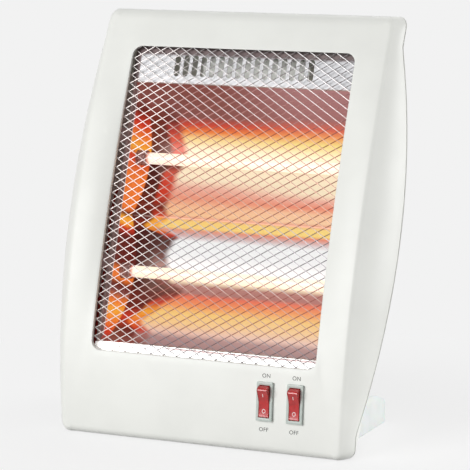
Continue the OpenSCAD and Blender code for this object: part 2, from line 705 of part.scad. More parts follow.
// ---- tubes ----
cap_far = reflector_w / 2 + cap_out;
tube_half = cap_far - 8;
module at_tube(u) {
    leaning() translate([0, tube_v, u]) children();
}
module quartz_tube(u) {
    color([1, 0.93, 0.8]) at_tube(u) difference() {
        rod_x(tube_d, 2 * tube_half);
        rod_x(tube_d - 2 * tube_wall, 2 * tube_half + 1);
    }
}
module heating_coil(u) {
    color([1, 0.6, 0.3]) at_tube(u) {
        rod_x(coil_d, 2 * (tube_half - 10));
        rod_x(pin_d, 2 * (cap_far + 6));
    }
}
module end_cap(u, side) {
    color([0.9, 0.89, 0.86]) at_tube(u) difference() {
        translate([side * (cap_far - cap_l / 2), 0, 0]) rod_x(cap_d, cap_l);
        rod_x(tube_d + 0.2, 2 * (tube_half + 0.3));
        rod_x(pin_d + 0.3, 4 * cap_far);
    }
}
clip_h = 26;
clip_w = 17;
clip_t = 0.8;
clip_x = reflector_w / 2 + plate_t + seat_gap;
clip_collar = 3.2;
clip_screw = 10.6;
clip_screw_d = 2;
clip_head_d = 3.8;
clip_head_h = 1.2;
module tube_clip(u, side) {
    color([0.75, 0.75, 0.75]) at_tube(u) difference() {
        union() {
            translate([side * (clip_x + clip_t / 2), 0, 0])
                cube([clip_t, clip_w, clip_h], center = true);
            translate([side * (clip_x + clip_collar / 2), 0, 0]) rod_x(cap_d + 2.4, clip_collar);
        }
        rod_x(cap_d + 0.3, 4 * cap_far);
        for (s = [-1, 1]) translate([0, 0, s * clip_screw]) rod_x(clip_screw_d + 0.2, 4 * cap_far);
    }
}
module tube_clip_screws() {
    color(steel_bright) for (u = [upper_u, lower_u]) at_tube(u) for (side = [-1, 1])
        for (s = [-1, 1])
            translate([side * (clip_x + clip_t + seat_gap + clip_head_h / 2), 0, s * clip_screw]) {
            rod_x(clip_head_d, clip_head_h);
            translate([-side * 0.65, 0, 0]) rod_x(clip_screw_d, clip_head_h + 0.2);
        }
}
// A push-on terminal: a crimped sleeve on the lead pin, with a tab that hangs down from it
sleeve_d = 5;
sleeve_l = 3;
sleeve_x = cap_far + 2.4;
blade_w = 6.3;
blade_t = 0.8;
tab_l = 12;
tab_drop = 5;
module tube_terminals(u) {
    color(blade_brass) at_tube(u) for (side = [-1, 1]) difference() {
        translate([side * sleeve_x, 0, 0]) {
            rod_x(sleeve_d, sleeve_l);
            translate([-side * blade_t, 0, -tab_drop]) cube([blade_t, blade_w, tab_l], center = true);
        }
        rod_x(pin_d + 0.2, 4 * cap_far);
    }
}
module upper_quartz_tube() { quartz_tube(upper_u); }
module lower_quartz_tube() { quartz_tube(lower_u); }
module upper_heating_coil() { heating_coil(upper_u); }
module lower_heating_coil() { heating_coil(lower_u); }
module end_cap_upper_left() { end_cap(upper_u, -1); }
module end_cap_upper_right() { end_cap(upper_u, 1); }
module end_cap_lower_left() { end_cap(lower_u, -1); }
module end_cap_lower_right() { end_cap(lower_u, 1); }
module tube_clip_upper_left() { tube_clip(upper_u, -1); }
module tube_clip_upper_right() { tube_clip(upper_u, 1); }
module tube_clip_lower_left() { tube_clip(lower_u, -1); }
module tube_clip_lower_right() { tube_clip(lower_u, 1); }
module upper_tube_terminals() { tube_terminals(upper_u); }
module lower_tube_terminals() { tube_terminals(lower_u); }

// ---- rocker switches: local y runs into the casing, z up along the face ----
housing_w = bezel_w - 1.8;
housing_h = bezel_h - 3.9;
cavity_w = rocker_w + 2 * fit_gap;
cavity_r = rocker_r + fit_gap;
cavity_depth = 7.6;
trunnion_d = 2.4;
module at_switch(x) { on_face(x, switch_z) children(); }
module switch_body(x) {
    color([0.72, 0.75, 0.73]) at_switch(x) difference() {
        union() {
            translate([-bezel_w / 2, -bezel_t - bezel_seat, -bezel_h / 2])
                cube([bezel_w, bezel_t, bezel_h]);
            translate([-housing_w / 2, -bezel_seat - eps, -housing_h / 2])
                cube([housing_w, switch_depth, housing_h]);
        }
        intersection() {
            translate([0, pivot_y, 0]) rod_x(2 * cavity_r, cavity_w);
            translate([-cavity_w, -10, -cavity_r]) cube([2 * cavity_w, cavity_depth + 10, 2 * cavity_r]);
        }
        translate([-cavity_w / 2, -10, -cavity_r]) cube([cavity_w, 10 + pivot_y, 2 * cavity_r]);
        translate([0, pivot_y, 0]) rod_x(trunnion_d + 2 * run_gap, rocker_w + 2 * fit_gap + 1.8);
        for (s = [-1, 1]) translate([0, switch_depth - blade_in - 0.2, s * blade_h])
            blade(seat_gap, blade_in + 0.2);
    }
}
module blade(grow, l) {
    translate([-blade_w / 2 - grow, 0, -blade_t / 2 - grow])
        cube([blade_w + 2 * grow, l, blade_t + 2 * grow]);
}
blade_l = 10.5;
blade_in = 2.8;
blade_h = 7;
module switch_blades(x) {
    color(blade_brass) at_switch(x) for (s = [-1, 1])
        translate([0, switch_depth - blade_in, s * blade_h]) blade(0, blade_l);
}
rocker_valley = rocker_tip - rocker_tip_e * tan(rocker_tilt);
rocker_under = 4;
// The rocker stands tilted at rest: its lower end is pressed in, its upper end is out
module rocker(x) {
    color([0.8, 0.12, 0.12]) at_switch(x) translate([0, pivot_y, 0]) rotate([rocker_tilt, 0, 0]) {
        intersection() {
            rod_x(2 * rocker_r, rocker_w);
            along_x(-rocker_w, rocker_w) polygon([
                [-rocker_tip, -rocker_tip_e], [-rocker_valley, 0], [-rocker_tip, rocker_tip_e],
                [0, rocker_r + 1], [rocker_under, rocker_r + 1],
                [rocker_under, -rocker_r - 1], [0, -rocker_r - 1]]);
        }
        rod_x(trunnion_d, rocker_w + 2 * fit_gap + 1.4);
    }
}
module left_switch_body() { switch_body(left_switch_x); }
module right_switch_body() { switch_body(left_switch_x + switch_pitch); }
module left_rocker() { rocker(left_switch_x); }
module right_rocker() { rocker(left_switch_x + switch_pitch); }
module left_switch_blades() { switch_blades(left_switch_x); }
module right_switch_blades() { switch_blades(left_switch_x + switch_pitch); }

// ---- thermal cut-out on the right end plate ----
cutout_u = ridge_u + 1;
cutout_strap = [0.8, 12, 32];
cutout_d = 16;
cutout_h = 6.4;
cutout_blade_v = 4;
cutout_blade_l = 4.4;
cutout_screw = 12.5;
cutout_screw_d = 2.2;
cutout_head_d = 4.4;
module thermal_cutout() {
    color([0.25, 0.25, 0.27]) leaning() translate([clip_x, tube_v, cutout_u]) difference() {
        union() {
            translate([0.5, 0, 0]) cube(cutout_strap, center = true);
            translate([4, 0, 0]) rod_x(cutout_d, cutout_h);
            for (s = [-1, 1]) translate([8.5, s * cutout_blade_v, 0])
                cube([cutout_blade_l, blade_t, blade_w], center = true);
        }
        for (s = [-1, 1]) translate([0, 0, s * cutout_screw]) rod_x(cutout_screw_d + 0.4, 20);
    }
}
module thermal_cutout_screws() {
    color(steel_bright) leaning() for (s = [-1, 1])
        translate([clip_x + 1.7, tube_v, cutout_u + s * cutout_screw]) {
            rod_x(cutout_head_d, small_head_h);
            translate([-1.1, 0, 0]) rod_x(cutout_screw_d, 1.2);
        }
}

// ---- base: terminal block, tip-over switch, gland ----
block_z = 2 * wall - 0.4;
port_d = 4.6;
port_pitch = 7;
port_z = block_size[2] - 6;
block_sink = 3;
module terminal_block() {
    color([0.9, 0.9, 0.86]) translate(block_at + [0, 0, block_z]) difference() {
        translate([-block_size[0] / 2, -block_size[1] / 2, 0]) cube(block_size);
        for (i = [-1 : 1]) translate([i * port_pitch, 0, port_z])
            rotate([90, 0, 0]) cylinder(d = port_d, h = 2 * block_size[1], center = true, $fn = 24);
        for (sx = [-1, 1]) translate([sx * block_post_x, 0, -1])
            cylinder(d = small_hole_d, h = 2 * block_size[2], $fn = 32);
        for (sx = [-1, 1]) translate([sx * block_post_x, 0, block_size[2] - block_sink])
            cylinder(d = small_head_d + 2 * fit_gap, h = 2 * block_size[2], $fn = 32);
    }
}
module terminal_block_screws() {
    z = block_z + block_size[2] - block_sink + seat_gap;
    color(steel_bright) for (sx = [-1, 1]) translate(block_at + [sx * block_post_x, 0, 0]) {
        translate([0, 0, z]) cylinder(d = small_head_d, h = small_head_h, $fn = 32);
        translate([0, 0, 1.2]) cylinder(d = small_shank_d, h = z - 1.2 + eps, $fn = 32);
    }
}
tip_flange_h = 4;
tip_body_w = 18;
tip_blade_x = 5;
tip_blade_w = 6;
tip_blade_l = 7;
tip_screw_l = 11;
module tip_over_switch() {
    color([0.15, 0.15, 0.16]) translate(plunger_at + [0, 0, tip_switch_z]) difference() {
        union() {
            translate([-tip_size[0] / 2, -tip_size[1] / 2, 0])
                cube([tip_size[0], tip_size[1], tip_flange_h]);
            translate([-tip_body_w / 2, -tip_size[1] / 2, 0])
                cube([tip_body_w, tip_size[1], tip_size[2]]);
            for (s = [-1, 1])
                translate([s * tip_blade_x - blade_t / 2, -tip_blade_w / 2, tip_size[2] - merge])
                cube([blade_t, tip_blade_w, tip_blade_l + merge]);
        }
        for (sx = [-1, 1]) translate([sx * tip_post_x, 0, -1])
            cylinder(d = small_hole_d, h = 2 * tip_flange_h, $fn = 32);
    }
}
module tip_over_screws() {
    color(steel_bright) for (sx = [-1, 1])
        translate(plunger_at + [sx * tip_post_x, 0, tip_switch_z + tip_flange_h + seat_gap]) {
            cylinder(d = small_head_d, h = small_head_h, $fn = 32);
            translate([0, 0, -tip_screw_l])
                cylinder(d = small_shank_d, h = tip_screw_l + eps, $fn = 32);
        }
}
stem_d = 4;
module tip_over_plunger() {
    color([0.9, 0.9, 0.88]) translate(plunger_at) {
        translate([0, 0, 0.2]) cylinder(d = plunger_d, h = collar_z, $fn = 64);
        translate([0, 0, collar_z]) cylinder(d = plunger_d + 5, h = collar_t, $fn = 48);
        translate([0, 0, collar_z]) cylinder(d = stem_d, h = stem_top - collar_z, $fn = 48);
    }
}
// A round wire swept along points: each ring stands square to the path
function unit(v) = v / norm(v);
function way(p, i) = unit(p[min(i + 1, len(p) - 1)] - p[max(i - 1, 0)]);
module swept(path, r, sides, across) {
    rings = [for (i = [0 : len(path) - 1]) let (d = way(path, i),
        a = unit(cross(d, across)), b = cross(d, a))
        [for (k = [0 : sides - 1]) path[i] + r * (cos(360 * k / sides) * a + sin(360 * k / sides) * b)]];
    n = len(path);
    polyhedron(points = [for (ring = rings) each ring],
        faces = concat([[for (k = [0 : sides - 1]) k]],
            [reversed([for (k = [0 : sides - 1]) (n - 1) * sides + k])],
            [for (i = [0 : n - 2]) for (k = [0 : sides - 1]) let (
                a = i * sides + k, b = i * sides + (k + 1) % sides,
                c = b + sides, d = a + sides) each [[a, c, b], [a, d, c]]]));
}
spring_turns = 4;
spring_wire = 0.8;
spring_r = 4.2;
module tip_over_spring() {
    low = collar_z + collar_t + spring_wire / 2 + seat_gap;
    high = tip_switch_z - spring_wire / 2 - seat_gap;
    path = [for (a = [0 : 45 : 360 * spring_turns])
        [spring_r * cos(a), spring_r * sin(a), mix(low, high, a / (360 * spring_turns))]];
    color(steel_bright) translate(plunger_at) swept(path, spring_wire / 2, 6, [0, 0, 1]);
}
module cord_gland() {
    color([0.2, 0.2, 0.2]) on_back(gland_x, gland_z) difference() {
        union() {
            rod_y(gland_hole_d - fit_gap, -wall - gland_barb, 2 * fit_gap);
            rod_y(gland_flange_d, fit_gap, fit_gap + gland_flange_t);
            rod_y(gland_hole_d + 2.4, -wall - gland_barb, -wall - 0.3 * gland_barb);
        }
        rod_y(gland_bore_d, -4 * gland_barb - wall, 4 * gland_barb);
    }
}

// ---- feet ----
foot_round = 6;
foot_nose = 20;
module rear_foot(side) {
    x0 = side > 0 ? foot_out - foot_w : -foot_out;
    panel = front_y + base_depth;
    tail = panel + foot_l;
    color([0.9, 0.91, 0.9]) difference() {
        along_x(x0, x0 + foot_w) {
            polygon([[panel - foot_nose, 0], [tail, 0], [tail, foot_tail_h - foot_round],
                [tail - foot_round, foot_tail_h], [panel + 0.65 * foot_l, foot_h - 3],
                [panel + 0.4 * foot_l, foot_h], [panel, foot_h - 1], [panel - foot_nose, foot_h - 4]]);
            translate([tail - foot_round, foot_tail_h - foot_round]) circle(r = foot_round, $fn = 48);
        }
        rear_block(-fit_gap);
        for (z = foot_screw_z) on_back(side * foot_screw_x, z)
            rod_y(small_pilot_d, -1, 14);
    }
}
module left_rear_foot() { rear_foot(-1); }
module right_rear_foot() { rear_foot(1); }
module foot_screws() {
    color(steel_bright) for (sx = [-1, 1]) for (z = foot_screw_z) on_back(sx * foot_screw_x, z)
        translate([0, -wall - 2 * fit_gap, 0]) {
            rod_y(small_head_d, -small_head_h, 0);
            rod_y(small_shank_d, -eps, 14);
        }
}
module case_screws() {
    color(steel_bright) for (s = case_spots) translate([s[0], case_floor(s) + 0.1, s[1]])
        screw_y(case_shank_d, case_head_floor + case_bite, case_head_d, case_head_h);
}

// ---- wires, along hand-chosen routes ----
wire_d = 2.2;
function lean_pt(x, v, u) = [x, lean_y + v * cos(lean) + u * sin(lean),
    lean_z + u * cos(lean) - v * sin(lean)];
function base_pt(x, back, z) = [x, front_y + back, z];
switch_lean = face_lean(switch_z);
function switch_pt(x, d, h) = [x, face_y(switch_z) + d * cos(switch_lean) + h * sin(switch_lean),
    switch_z + h * cos(switch_lean) - d * sin(switch_lean)];
// Cuts each corner of a route once, and keeps its two ends
function eased(p) = concat([p[0]], [for (i = [1 : len(p) - 2])
    each [mix(p[i], p[i - 1], 0.25), mix(p[i], p[i + 1], 0.25)]], [p[len(p) - 1]]);
module wire(points, shade) {
    color(shade) swept(eased(points), wire_d / 2, 8, [0.31, 0.17, 0.94]);
}
right_switch_x = left_switch_x + switch_pitch;
tab_x = sleeve_x - blade_t;
tab_end = tab_drop + tab_l / 2 + fit_gap;
blade_far = switch_depth - blade_in + blade_l + fit_gap;
tip_tab_z = tip_switch_z + tip_size[2] + tip_blade_l + fit_gap;
cutout_x = clip_x + 8.5 + cutout_blade_l / 2 + fit_gap;
block_front = block_y - block_size[1] / 2 - fit_gap;
block_port_z = block_z + port_z;
// The wires climb midway between the end plates and the casing's sides
lane_x = (reflector_w + face_w) / 4 + 1.5;
module wire_upper_feed() {
    wire([switch_pt(left_switch_x, blade_far, -blade_h), switch_pt(left_switch_x, blade_far + 6, -8),
        base_pt(45, 35, 31), base_pt(-30, 28, 30), base_pt(20 - lane_x, 28, 32),
        base_pt(-lane_x, 32, 42), lean_pt(-lane_x, 30, lower_u - 31),
        lean_pt(1 - lane_x, 30, lower_u + 9), lean_pt(1 - lane_x, 26, upper_u - 38),
        lean_pt(5 - lane_x, tube_v, upper_u - 20),
        lean_pt(-tab_x, tube_v, upper_u - tab_end - 5), lean_pt(-tab_x, tube_v, upper_u - tab_end)],
        [0.85, 0.2, 0.15]);
}
module wire_lower_feed() {
    wire([switch_pt(right_switch_x, blade_far, -blade_h), switch_pt(right_switch_x, blade_far + 6, -9),
        base_pt(66, 35, 24), base_pt(-30, 34, 24), base_pt(24 - lane_x, 35, 25),
        base_pt(6 - lane_x, 38, 34), base_pt(-lane_x - 5, 38, 50),
        lean_pt(-lane_x - 4, 22, lower_u - 37), lean_pt(3 - lane_x, 24, lower_u - 25),
        lean_pt(-tab_x, tube_v, lower_u - tab_end - 5), lean_pt(-tab_x, tube_v, lower_u - tab_end)],
        [0.85, 0.2, 0.15]);
}
module wire_tube_link() {
    wire([lean_pt(tab_x, tube_v, upper_u - tab_end), lean_pt(tab_x, tube_v, upper_u - tab_end - 5),
        lean_pt(lane_x - 8, 22, upper_u - 24), lean_pt(lane_x - 8, 18, upper_u - 44),
        lean_pt(lane_x - 8, 18, lower_u + 12), lean_pt(lane_x - 8, 21, lower_u - 10),
        lean_pt(tab_x, tube_v - 1.7, lower_u - tab_end - 6),
        lean_pt(tab_x, tube_v - 1.7, lower_u - tab_end)],
        [0.2, 0.35, 0.75]);
}
module wire_neutral() {
    wire([base_pt(block_x + port_pitch, block_front, block_port_z),
        base_pt(block_x + port_pitch, block_front - 7, block_port_z), base_pt(-38, 30, 10),
        base_pt(60, 30, 10), base_pt(lane_x - 16, 31, 9), base_pt(lane_x + 1, 36, 18),
        base_pt(lane_x + 1, 42, 50), lean_pt(lane_x - 1, 32, lower_u - 37),
        lean_pt(lane_x - 6, 34, lower_u - 25),
        lean_pt(tab_x, tube_v + 1.7, lower_u - tab_end - 5),
        lean_pt(tab_x, tube_v + 1.7, lower_u - tab_end)],
        [0.2, 0.35, 0.75]);
}
module wire_live() {
    wire([base_pt(block_x - port_pitch, block_front, block_port_z),
        base_pt(block_x - port_pitch, block_front - 8, block_port_z),
        base_pt(block_x + 2, 25, 7), base_pt(40, 22, 7), base_pt(lane_x - 14, 24, 7),
        base_pt(lane_x + 3, 28, 16), base_pt(lane_x + 7, 32, 50),
        lean_pt(lane_x + 7, 14, lower_u - 21), lean_pt(lane_x + 4, 14, lower_u + 19),
        lean_pt(lane_x + 2, 16, cutout_u - 8), lean_pt(cutout_x + 5, tube_v - 4, cutout_u),
        lean_pt(cutout_x, tube_v - 4, cutout_u)],
        [0.5, 0.3, 0.15]);
}
module wire_tip_live() {
    wire([lean_pt(cutout_x, tube_v + 4, cutout_u), lean_pt(cutout_x + 5, tube_v + 4, cutout_u),
        lean_pt(lane_x + 3, 28, cutout_u - 10), lean_pt(lane_x + 4, 30, lower_u - 1),
        lean_pt(lane_x + 3, 36, lower_u - 41), base_pt(lane_x - 4, 50, 54),
        base_pt(60, 52, 51), base_pt(14, 48, 51), base_pt(tip_blade_x, plunger_y, 50),
        base_pt(tip_blade_x, plunger_y, tip_tab_z)],
        [0.5, 0.3, 0.15]);
}
module wire_switched_live() {
    wire([base_pt(-tip_blade_x, plunger_y, tip_tab_z), base_pt(-tip_blade_x, plunger_y, 50),
        base_pt(-2, 38, 52), base_pt(30, 36, 51), base_pt(52, 36, 48),
        switch_pt(left_switch_x - 1.5, blade_far + 5, blade_h),
        switch_pt(left_switch_x - 1.5, blade_far, blade_h)], [0.5, 0.3, 0.15]);
}
module wire_switch_link() {
    wire([switch_pt(left_switch_x + 1.7, blade_far, blade_h),
        switch_pt(left_switch_x + 3, blade_far + 5, blade_h),
        switch_pt(right_switch_x - 4, blade_far + 6, blade_h),
        switch_pt(right_switch_x, blade_far + 4, blade_h),
        switch_pt(right_switch_x, blade_far, blade_h)], [0.5, 0.3, 0.15]);
}

front_shell();
rear_shell();
wire_guard();
guard_rim();
reflector();
vent_plate();
bottom_lip_plate();
end_plate_left();
end_plate_right();
heat_box();
upper_quartz_tube();
lower_quartz_tube();
upper_heating_coil();
lower_heating_coil();
end_cap_upper_left();
end_cap_upper_right();
end_cap_lower_left();
end_cap_lower_right();
tube_clip_upper_left();
tube_clip_upper_right();
tube_clip_lower_left();
tube_clip_lower_right();
tube_clip_screws();
upper_tube_terminals();
lower_tube_terminals();
left_switch_body();
right_switch_body();
left_rocker();
right_rocker();
left_switch_blades();
right_switch_blades();
thermal_cutout();
thermal_cutout_screws();
terminal_block();
terminal_block_screws();
tip_over_switch();
tip_over_plunger();
tip_over_spring();
tip_over_screws();
cord_gland();
left_rear_foot();
right_rear_foot();
foot_screws();
case_screws();
guard_screws();
reflector_screws();
plate_screws();
wire_upper_feed();
wire_lower_feed();
wire_tube_link();
wire_switched_live();
wire_switch_link();
wire_live();
wire_tip_live();
wire_neutral();
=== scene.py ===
# %% [markdown]
# # A two-tube quartz heater
# The heater is a leaning moulded casing with a wire guard over two glowing quartz bars, two rocker
# switches and two rear feet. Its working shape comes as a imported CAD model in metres, with every
# piece in a named node. This lesson dresses that model: smooth shells, a fine guard, sheet metal,
# glowing bars, and a finish for every piece that can be seen. All the making is in plain Python, so
# each shape can be measured and made again.

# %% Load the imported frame
import json
import math
import bmesh
import bpy
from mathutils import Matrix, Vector

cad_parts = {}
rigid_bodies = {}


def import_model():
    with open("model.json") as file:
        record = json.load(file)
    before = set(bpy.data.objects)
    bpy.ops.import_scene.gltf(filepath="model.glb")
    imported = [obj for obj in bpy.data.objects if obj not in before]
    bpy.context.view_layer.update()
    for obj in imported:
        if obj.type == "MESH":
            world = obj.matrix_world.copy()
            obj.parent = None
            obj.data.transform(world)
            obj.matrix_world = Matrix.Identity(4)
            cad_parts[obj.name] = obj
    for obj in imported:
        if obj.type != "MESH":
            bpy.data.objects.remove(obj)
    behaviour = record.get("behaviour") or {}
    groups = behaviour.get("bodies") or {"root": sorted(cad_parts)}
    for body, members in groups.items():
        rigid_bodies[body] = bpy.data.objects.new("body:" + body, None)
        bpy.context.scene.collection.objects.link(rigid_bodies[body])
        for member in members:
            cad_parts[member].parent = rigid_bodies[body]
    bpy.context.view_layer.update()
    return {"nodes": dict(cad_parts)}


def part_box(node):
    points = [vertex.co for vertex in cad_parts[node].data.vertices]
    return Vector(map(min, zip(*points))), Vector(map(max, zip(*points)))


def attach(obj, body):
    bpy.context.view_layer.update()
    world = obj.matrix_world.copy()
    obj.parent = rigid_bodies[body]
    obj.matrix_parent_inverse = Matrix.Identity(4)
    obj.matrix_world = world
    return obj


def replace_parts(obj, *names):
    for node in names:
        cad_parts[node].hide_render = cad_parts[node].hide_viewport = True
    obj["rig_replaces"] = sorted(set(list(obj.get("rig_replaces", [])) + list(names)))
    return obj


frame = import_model()
nodes = frame["nodes"]
MM = 0.001
DEGREES = math.radians(1)

# %% [markdown]
# ## Camera
# The photograph was taken from the right and a little above, with a long lens, so upright edges
# stay nearly parallel. A camera can be aimed by hand, or placed by angles round a target. Angles
# are used here, because they come straight from fitting the casing's edges in the photograph.

# %% Place the camera
CAMERA_AZIMUTH = 23.84 * DEGREES
CAMERA_ELEVATION = 9.35 * DEGREES
CAMERA_DISTANCE = 1.8807
CAMERA_TARGET = Vector((0.0156, -0.02997, 0.1696))
CAMERA_LENS = 176.9


def link(obj):
    bpy.context.scene.collection.objects.link(obj)
    return obj


def toward(azimuth, elevation):
    """Direction from the heater to a place round it; azimuth 0 is straight in front."""
    flat = math.cos(elevation)
    return Vector((math.sin(azimuth) * flat, -math.cos(azimuth) * flat, math.sin(elevation)))


camera = link(bpy.data.objects.new("camera", bpy.data.cameras.new("camera")))
camera.data.lens = CAMERA_LENS
camera_way = toward(CAMERA_AZIMUTH, CAMERA_ELEVATION)
camera.location = CAMERA_TARGET + CAMERA_DISTANCE * camera_way
camera.rotation_euler = (-camera_way).to_track_quat("-Z", "Y").to_euler()
bpy.context.scene.camera = camera
print("camera at", [round(v, 3) for v in camera.location])

# %% [markdown]
# ## Finishes
# Every finish is a small node tree on Blender's Principled shader. Numbers that are the same all
# over a surface are set on the shader itself. What changes over the surface, such as the fine
# texture of moulded plastic or the flow marks of rolled sheet, comes from noise in real
# millimetres. A few helpers keep this short: one makes a finish, and the others add to it.

# %% Helpers for finishes
def seen(red, green, blue):
    """A colour as it looks on a screen, 0 to 255, as the linear colour that shaders want."""
    def linear(value):
        share = value / 255
        return share / 12.92 if share <= 0.04045 else ((share + 0.055) / 1.055) ** 2.4
    return (linear(red), linear(green), linear(blue), 1.0)


def shader_of(material):
    return material.node_tree.nodes["Principled BSDF"]


def finish(name, colour, roughness, **sockets):
    """A new material; sockets are named as on the Principled shader, with _ for a space."""
    material = bpy.data.materials.new(name)
    material.use_nodes = True
    shader = shader_of(material)
    shader.inputs["Base Color"].default_value = colour
    shader.inputs["Roughness"].default_value = roughness
    for key, value in sockets.items():
        shader.inputs[key.replace("_", " ")].default_value = value
    return material


def add(owner, kind, **settings):
    """Adds a node and sets what is named: first its own properties, then its inputs."""
    node = owner.node_tree.nodes.new("ShaderNode" + kind)
    for key, value in settings.items():
        if hasattr(node, key):
            setattr(node, key, value)
        else:
            node.inputs[key.replace("_", " ")].default_value = value
    return node


def wire_up(owner, output, target, socket):
    owner.node_tree.links.new(output, target.inputs[socket])


def paint(material, colour, socket="Base Color"):
    """Feeds a socket of the shader."""
    wire_up(material, colour, shader_of(material), socket)


print("white plastic in linear light:", [round(v, 3) for v in seen(238, 239, 234)])

# %% Noise, blends and bumps
BLEND_FROM = 0.35
BLEND_TO = 0.65


def grain(material, size_mm, detail=2.0, stretch=(1, 1, 1)):
    """Noise with patches of a real size; stretch above 1 squeezes it along that axis."""
    where = add(material, "TexCoord")
    squeeze = add(material, "Mapping")
    squeeze.inputs["Scale"].default_value = stretch
    noise = add(material, "TexNoise", Scale=1 / (size_mm * MM), Detail=detail)
    wire_up(material, where.outputs["Object"], squeeze, "Vector")
    wire_up(material, squeeze.outputs["Vector"], noise, "Vector")
    return noise.outputs["Fac"]


def blended(material, share, low, high, socket="Base Color"):
    """Colours the shader from low to high, with most of the change in the middle of the noise."""
    ramp = add(material, "ValToRGB")
    marks = ramp.color_ramp.elements
    marks[0].position = BLEND_FROM
    marks[1].position = BLEND_TO
    marks[0].color = low
    marks[1].color = high
    wire_up(material, share, ramp, "Fac")
    paint(material, ramp.outputs["Color"], socket)
    return ramp.outputs["Color"]


def roughened(material, share, low, high):
    """Varies the roughness from low to high."""
    level = add(material, "MapRange", To_Min=low, To_Max=high)
    wire_up(material, share, level, "Value")
    paint(material, level.outputs["Result"], "Roughness")


def textured(material, share, height_mm):
    """Raises the surface by up to height_mm."""
    bump = add(material, "Bump", Strength=1.0, Distance=height_mm * MM)
    wire_up(material, share, bump, "Height")
    paint(material, bump.outputs["Normal"], "Normal")


def eased(material, value, start, end, low=0, high=1, how="SMOOTHSTEP"):
    """From low to high while the value, in metres, goes from start to end."""
    share = add(material, "MapRange", interpolation_type=how,
                From_Min=start, From_Max=end, To_Min=low, To_Max=high)
    wire_up(material, value, share, "Value")
    return share.outputs["Result"]


print("noise turns into a colour, a roughness or a bump")

# %% [markdown]
# ## Floor, background and light
# The heater stands on plain pale grey that runs into the background without an edge. A big sheet is
# the simplest way. Near the heater it is lit like paper, so that it takes a soft shadow. Further
# out it fades into the plain background colour. To the heater's right the paper throws back more
# light, which keeps the foot of that side bright. Lamps are large and soft, as in a product studio.

# %% Light that only shows where it is looked at
BACKGROUND = seen(242, 242, 242)


def pale_rays(owner):
    """1 for rays that show the background: straight from the camera, or mirrored, or through glass."""
    path = add(owner, "LightPath")
    share = path.outputs["Is Camera Ray"]
    for kind in ("Is Glossy Ray", "Is Transmission Ray"):
        larger = add(owner, "Math", operation="MAXIMUM")
        wire_up(owner, share, larger, 0)
        wire_up(owner, path.outputs[kind], larger, 1)
        share = larger.outputs["Value"]
    return share


def background(ambient):
    """A world in the background's colour that lights the heater with the strength ambient."""
    world = bpy.data.worlds.new("studio")
    world.use_nodes = True
    sky = world.node_tree.nodes["Background"]
    sky.inputs["Color"].default_value = BACKGROUND
    strength = add(world, "MapRange", To_Min=ambient, To_Max=1.0)
    wire_up(world, pale_rays(world), strength, "Value")
    wire_up(world, strength.outputs["Result"], sky, "Strength")
    bpy.context.scene.world = world


AMBIENT = 0.36
background(AMBIENT)
bpy.context.scene.view_settings.view_transform = "Standard"
print("the world lights with a strength of", AMBIENT)

# %% Floor
FLOOR_REACH = 14.0
FLOOR_DROP = 0.3 * MM
BOUNCE = 0.16
SIDE_BOUNCE = 1.1
SIDE_BOUNCE_FROM = 0.135
SIDE_BOUNCE_FULL = 0.18
PAPER_SHARE = 0.3
NEAR_GLOW = 1.12
PAPER_FADES_FROM = 0.16
PAPER_GONE = 0.42


def floor_light(material, bounce, shown):
    """Light in the background's colour: bounce is its strength on other things."""
    strength = add(material, "MapRange", To_Max=shown)
    wire_up(material, bounce, strength, "To Min")
    wire_up(material, pale_rays(material), strength, "Value")
    light = add(material, "Emission", Color=BACKGROUND)
    wire_up(material, strength.outputs["Result"], light, "Strength")
    return light.outputs["Emission"]


def floor_paper():
    material = bpy.data.materials.new("floor_paper")
    material.use_nodes = True
    material.node_tree.nodes.remove(shader_of(material))
    where = add(material, "TexCoord").outputs["Object"]
    split = add(material, "SeparateXYZ")
    wire_up(material, where, split, "Vector")
    side_bounce = eased(material, split.outputs["X"], SIDE_BOUNCE_FROM, SIDE_BOUNCE_FULL,
                        BOUNCE, SIDE_BOUNCE)
    length = add(material, "VectorMath", operation="LENGTH")
    wire_up(material, where, length, 0)
    far = eased(material, length.outputs["Value"], PAPER_FADES_FROM, PAPER_GONE)
    paper = add(material, "BsdfDiffuse", Color=seen(244, 244, 244))
    near = add(material, "MixShader", Fac=PAPER_SHARE)
    wire_up(material, floor_light(material, side_bounce, NEAR_GLOW), near, 1)
    wire_up(material, paper.outputs["BSDF"], near, 2)
    bounce = add(material, "Value")
    bounce.outputs["Value"].default_value = BOUNCE
    both = add(material, "MixShader")
    wire_up(material, far, both, "Fac")
    wire_up(material, near.outputs["Shader"], both, 1)
    wire_up(material, floor_light(material, bounce.outputs["Value"], 1.0), both, 2)
    wire_up(material, both.outputs["Shader"], material.node_tree.nodes["Material Output"], "Surface")
    return material


floor_mesh = bpy.data.meshes.new("floor")
floor_corners = [(x * FLOOR_REACH, y * FLOOR_REACH, -FLOOR_DROP)
                 for x, y in ((-1, -1), (1, -1), (1, 1), (-1, 1))]
floor_mesh.from_pydata(floor_corners, [], [(0, 1, 2, 3)])
floor_mesh.materials.append(floor_paper())
floor = link(bpy.data.objects.new("floor", floor_mesh))
print("floor reaches", FLOOR_REACH, "m each way")

# %% Lamps
LAMP_AIM = Vector((0, 0, 0.17))
LAMP_DISTANCE = 2.6


def softbox(name, azimuth, elevation, size, watts):
    """A square soft lamp that faces the heater's middle; angles are in degrees."""
    lamp = bpy.data.lights.new(name, "AREA")
    lamp.shape = "SQUARE"
    lamp.size = size
    lamp.energy = watts
    box = link(bpy.data.objects.new(name, lamp))
    way = toward(azimuth * DEGREES, elevation * DEGREES)
    box.location = LAMP_AIM + LAMP_DISTANCE * way
    box.rotation_euler = (-way).to_track_quat("-Z", "Y").to_euler()


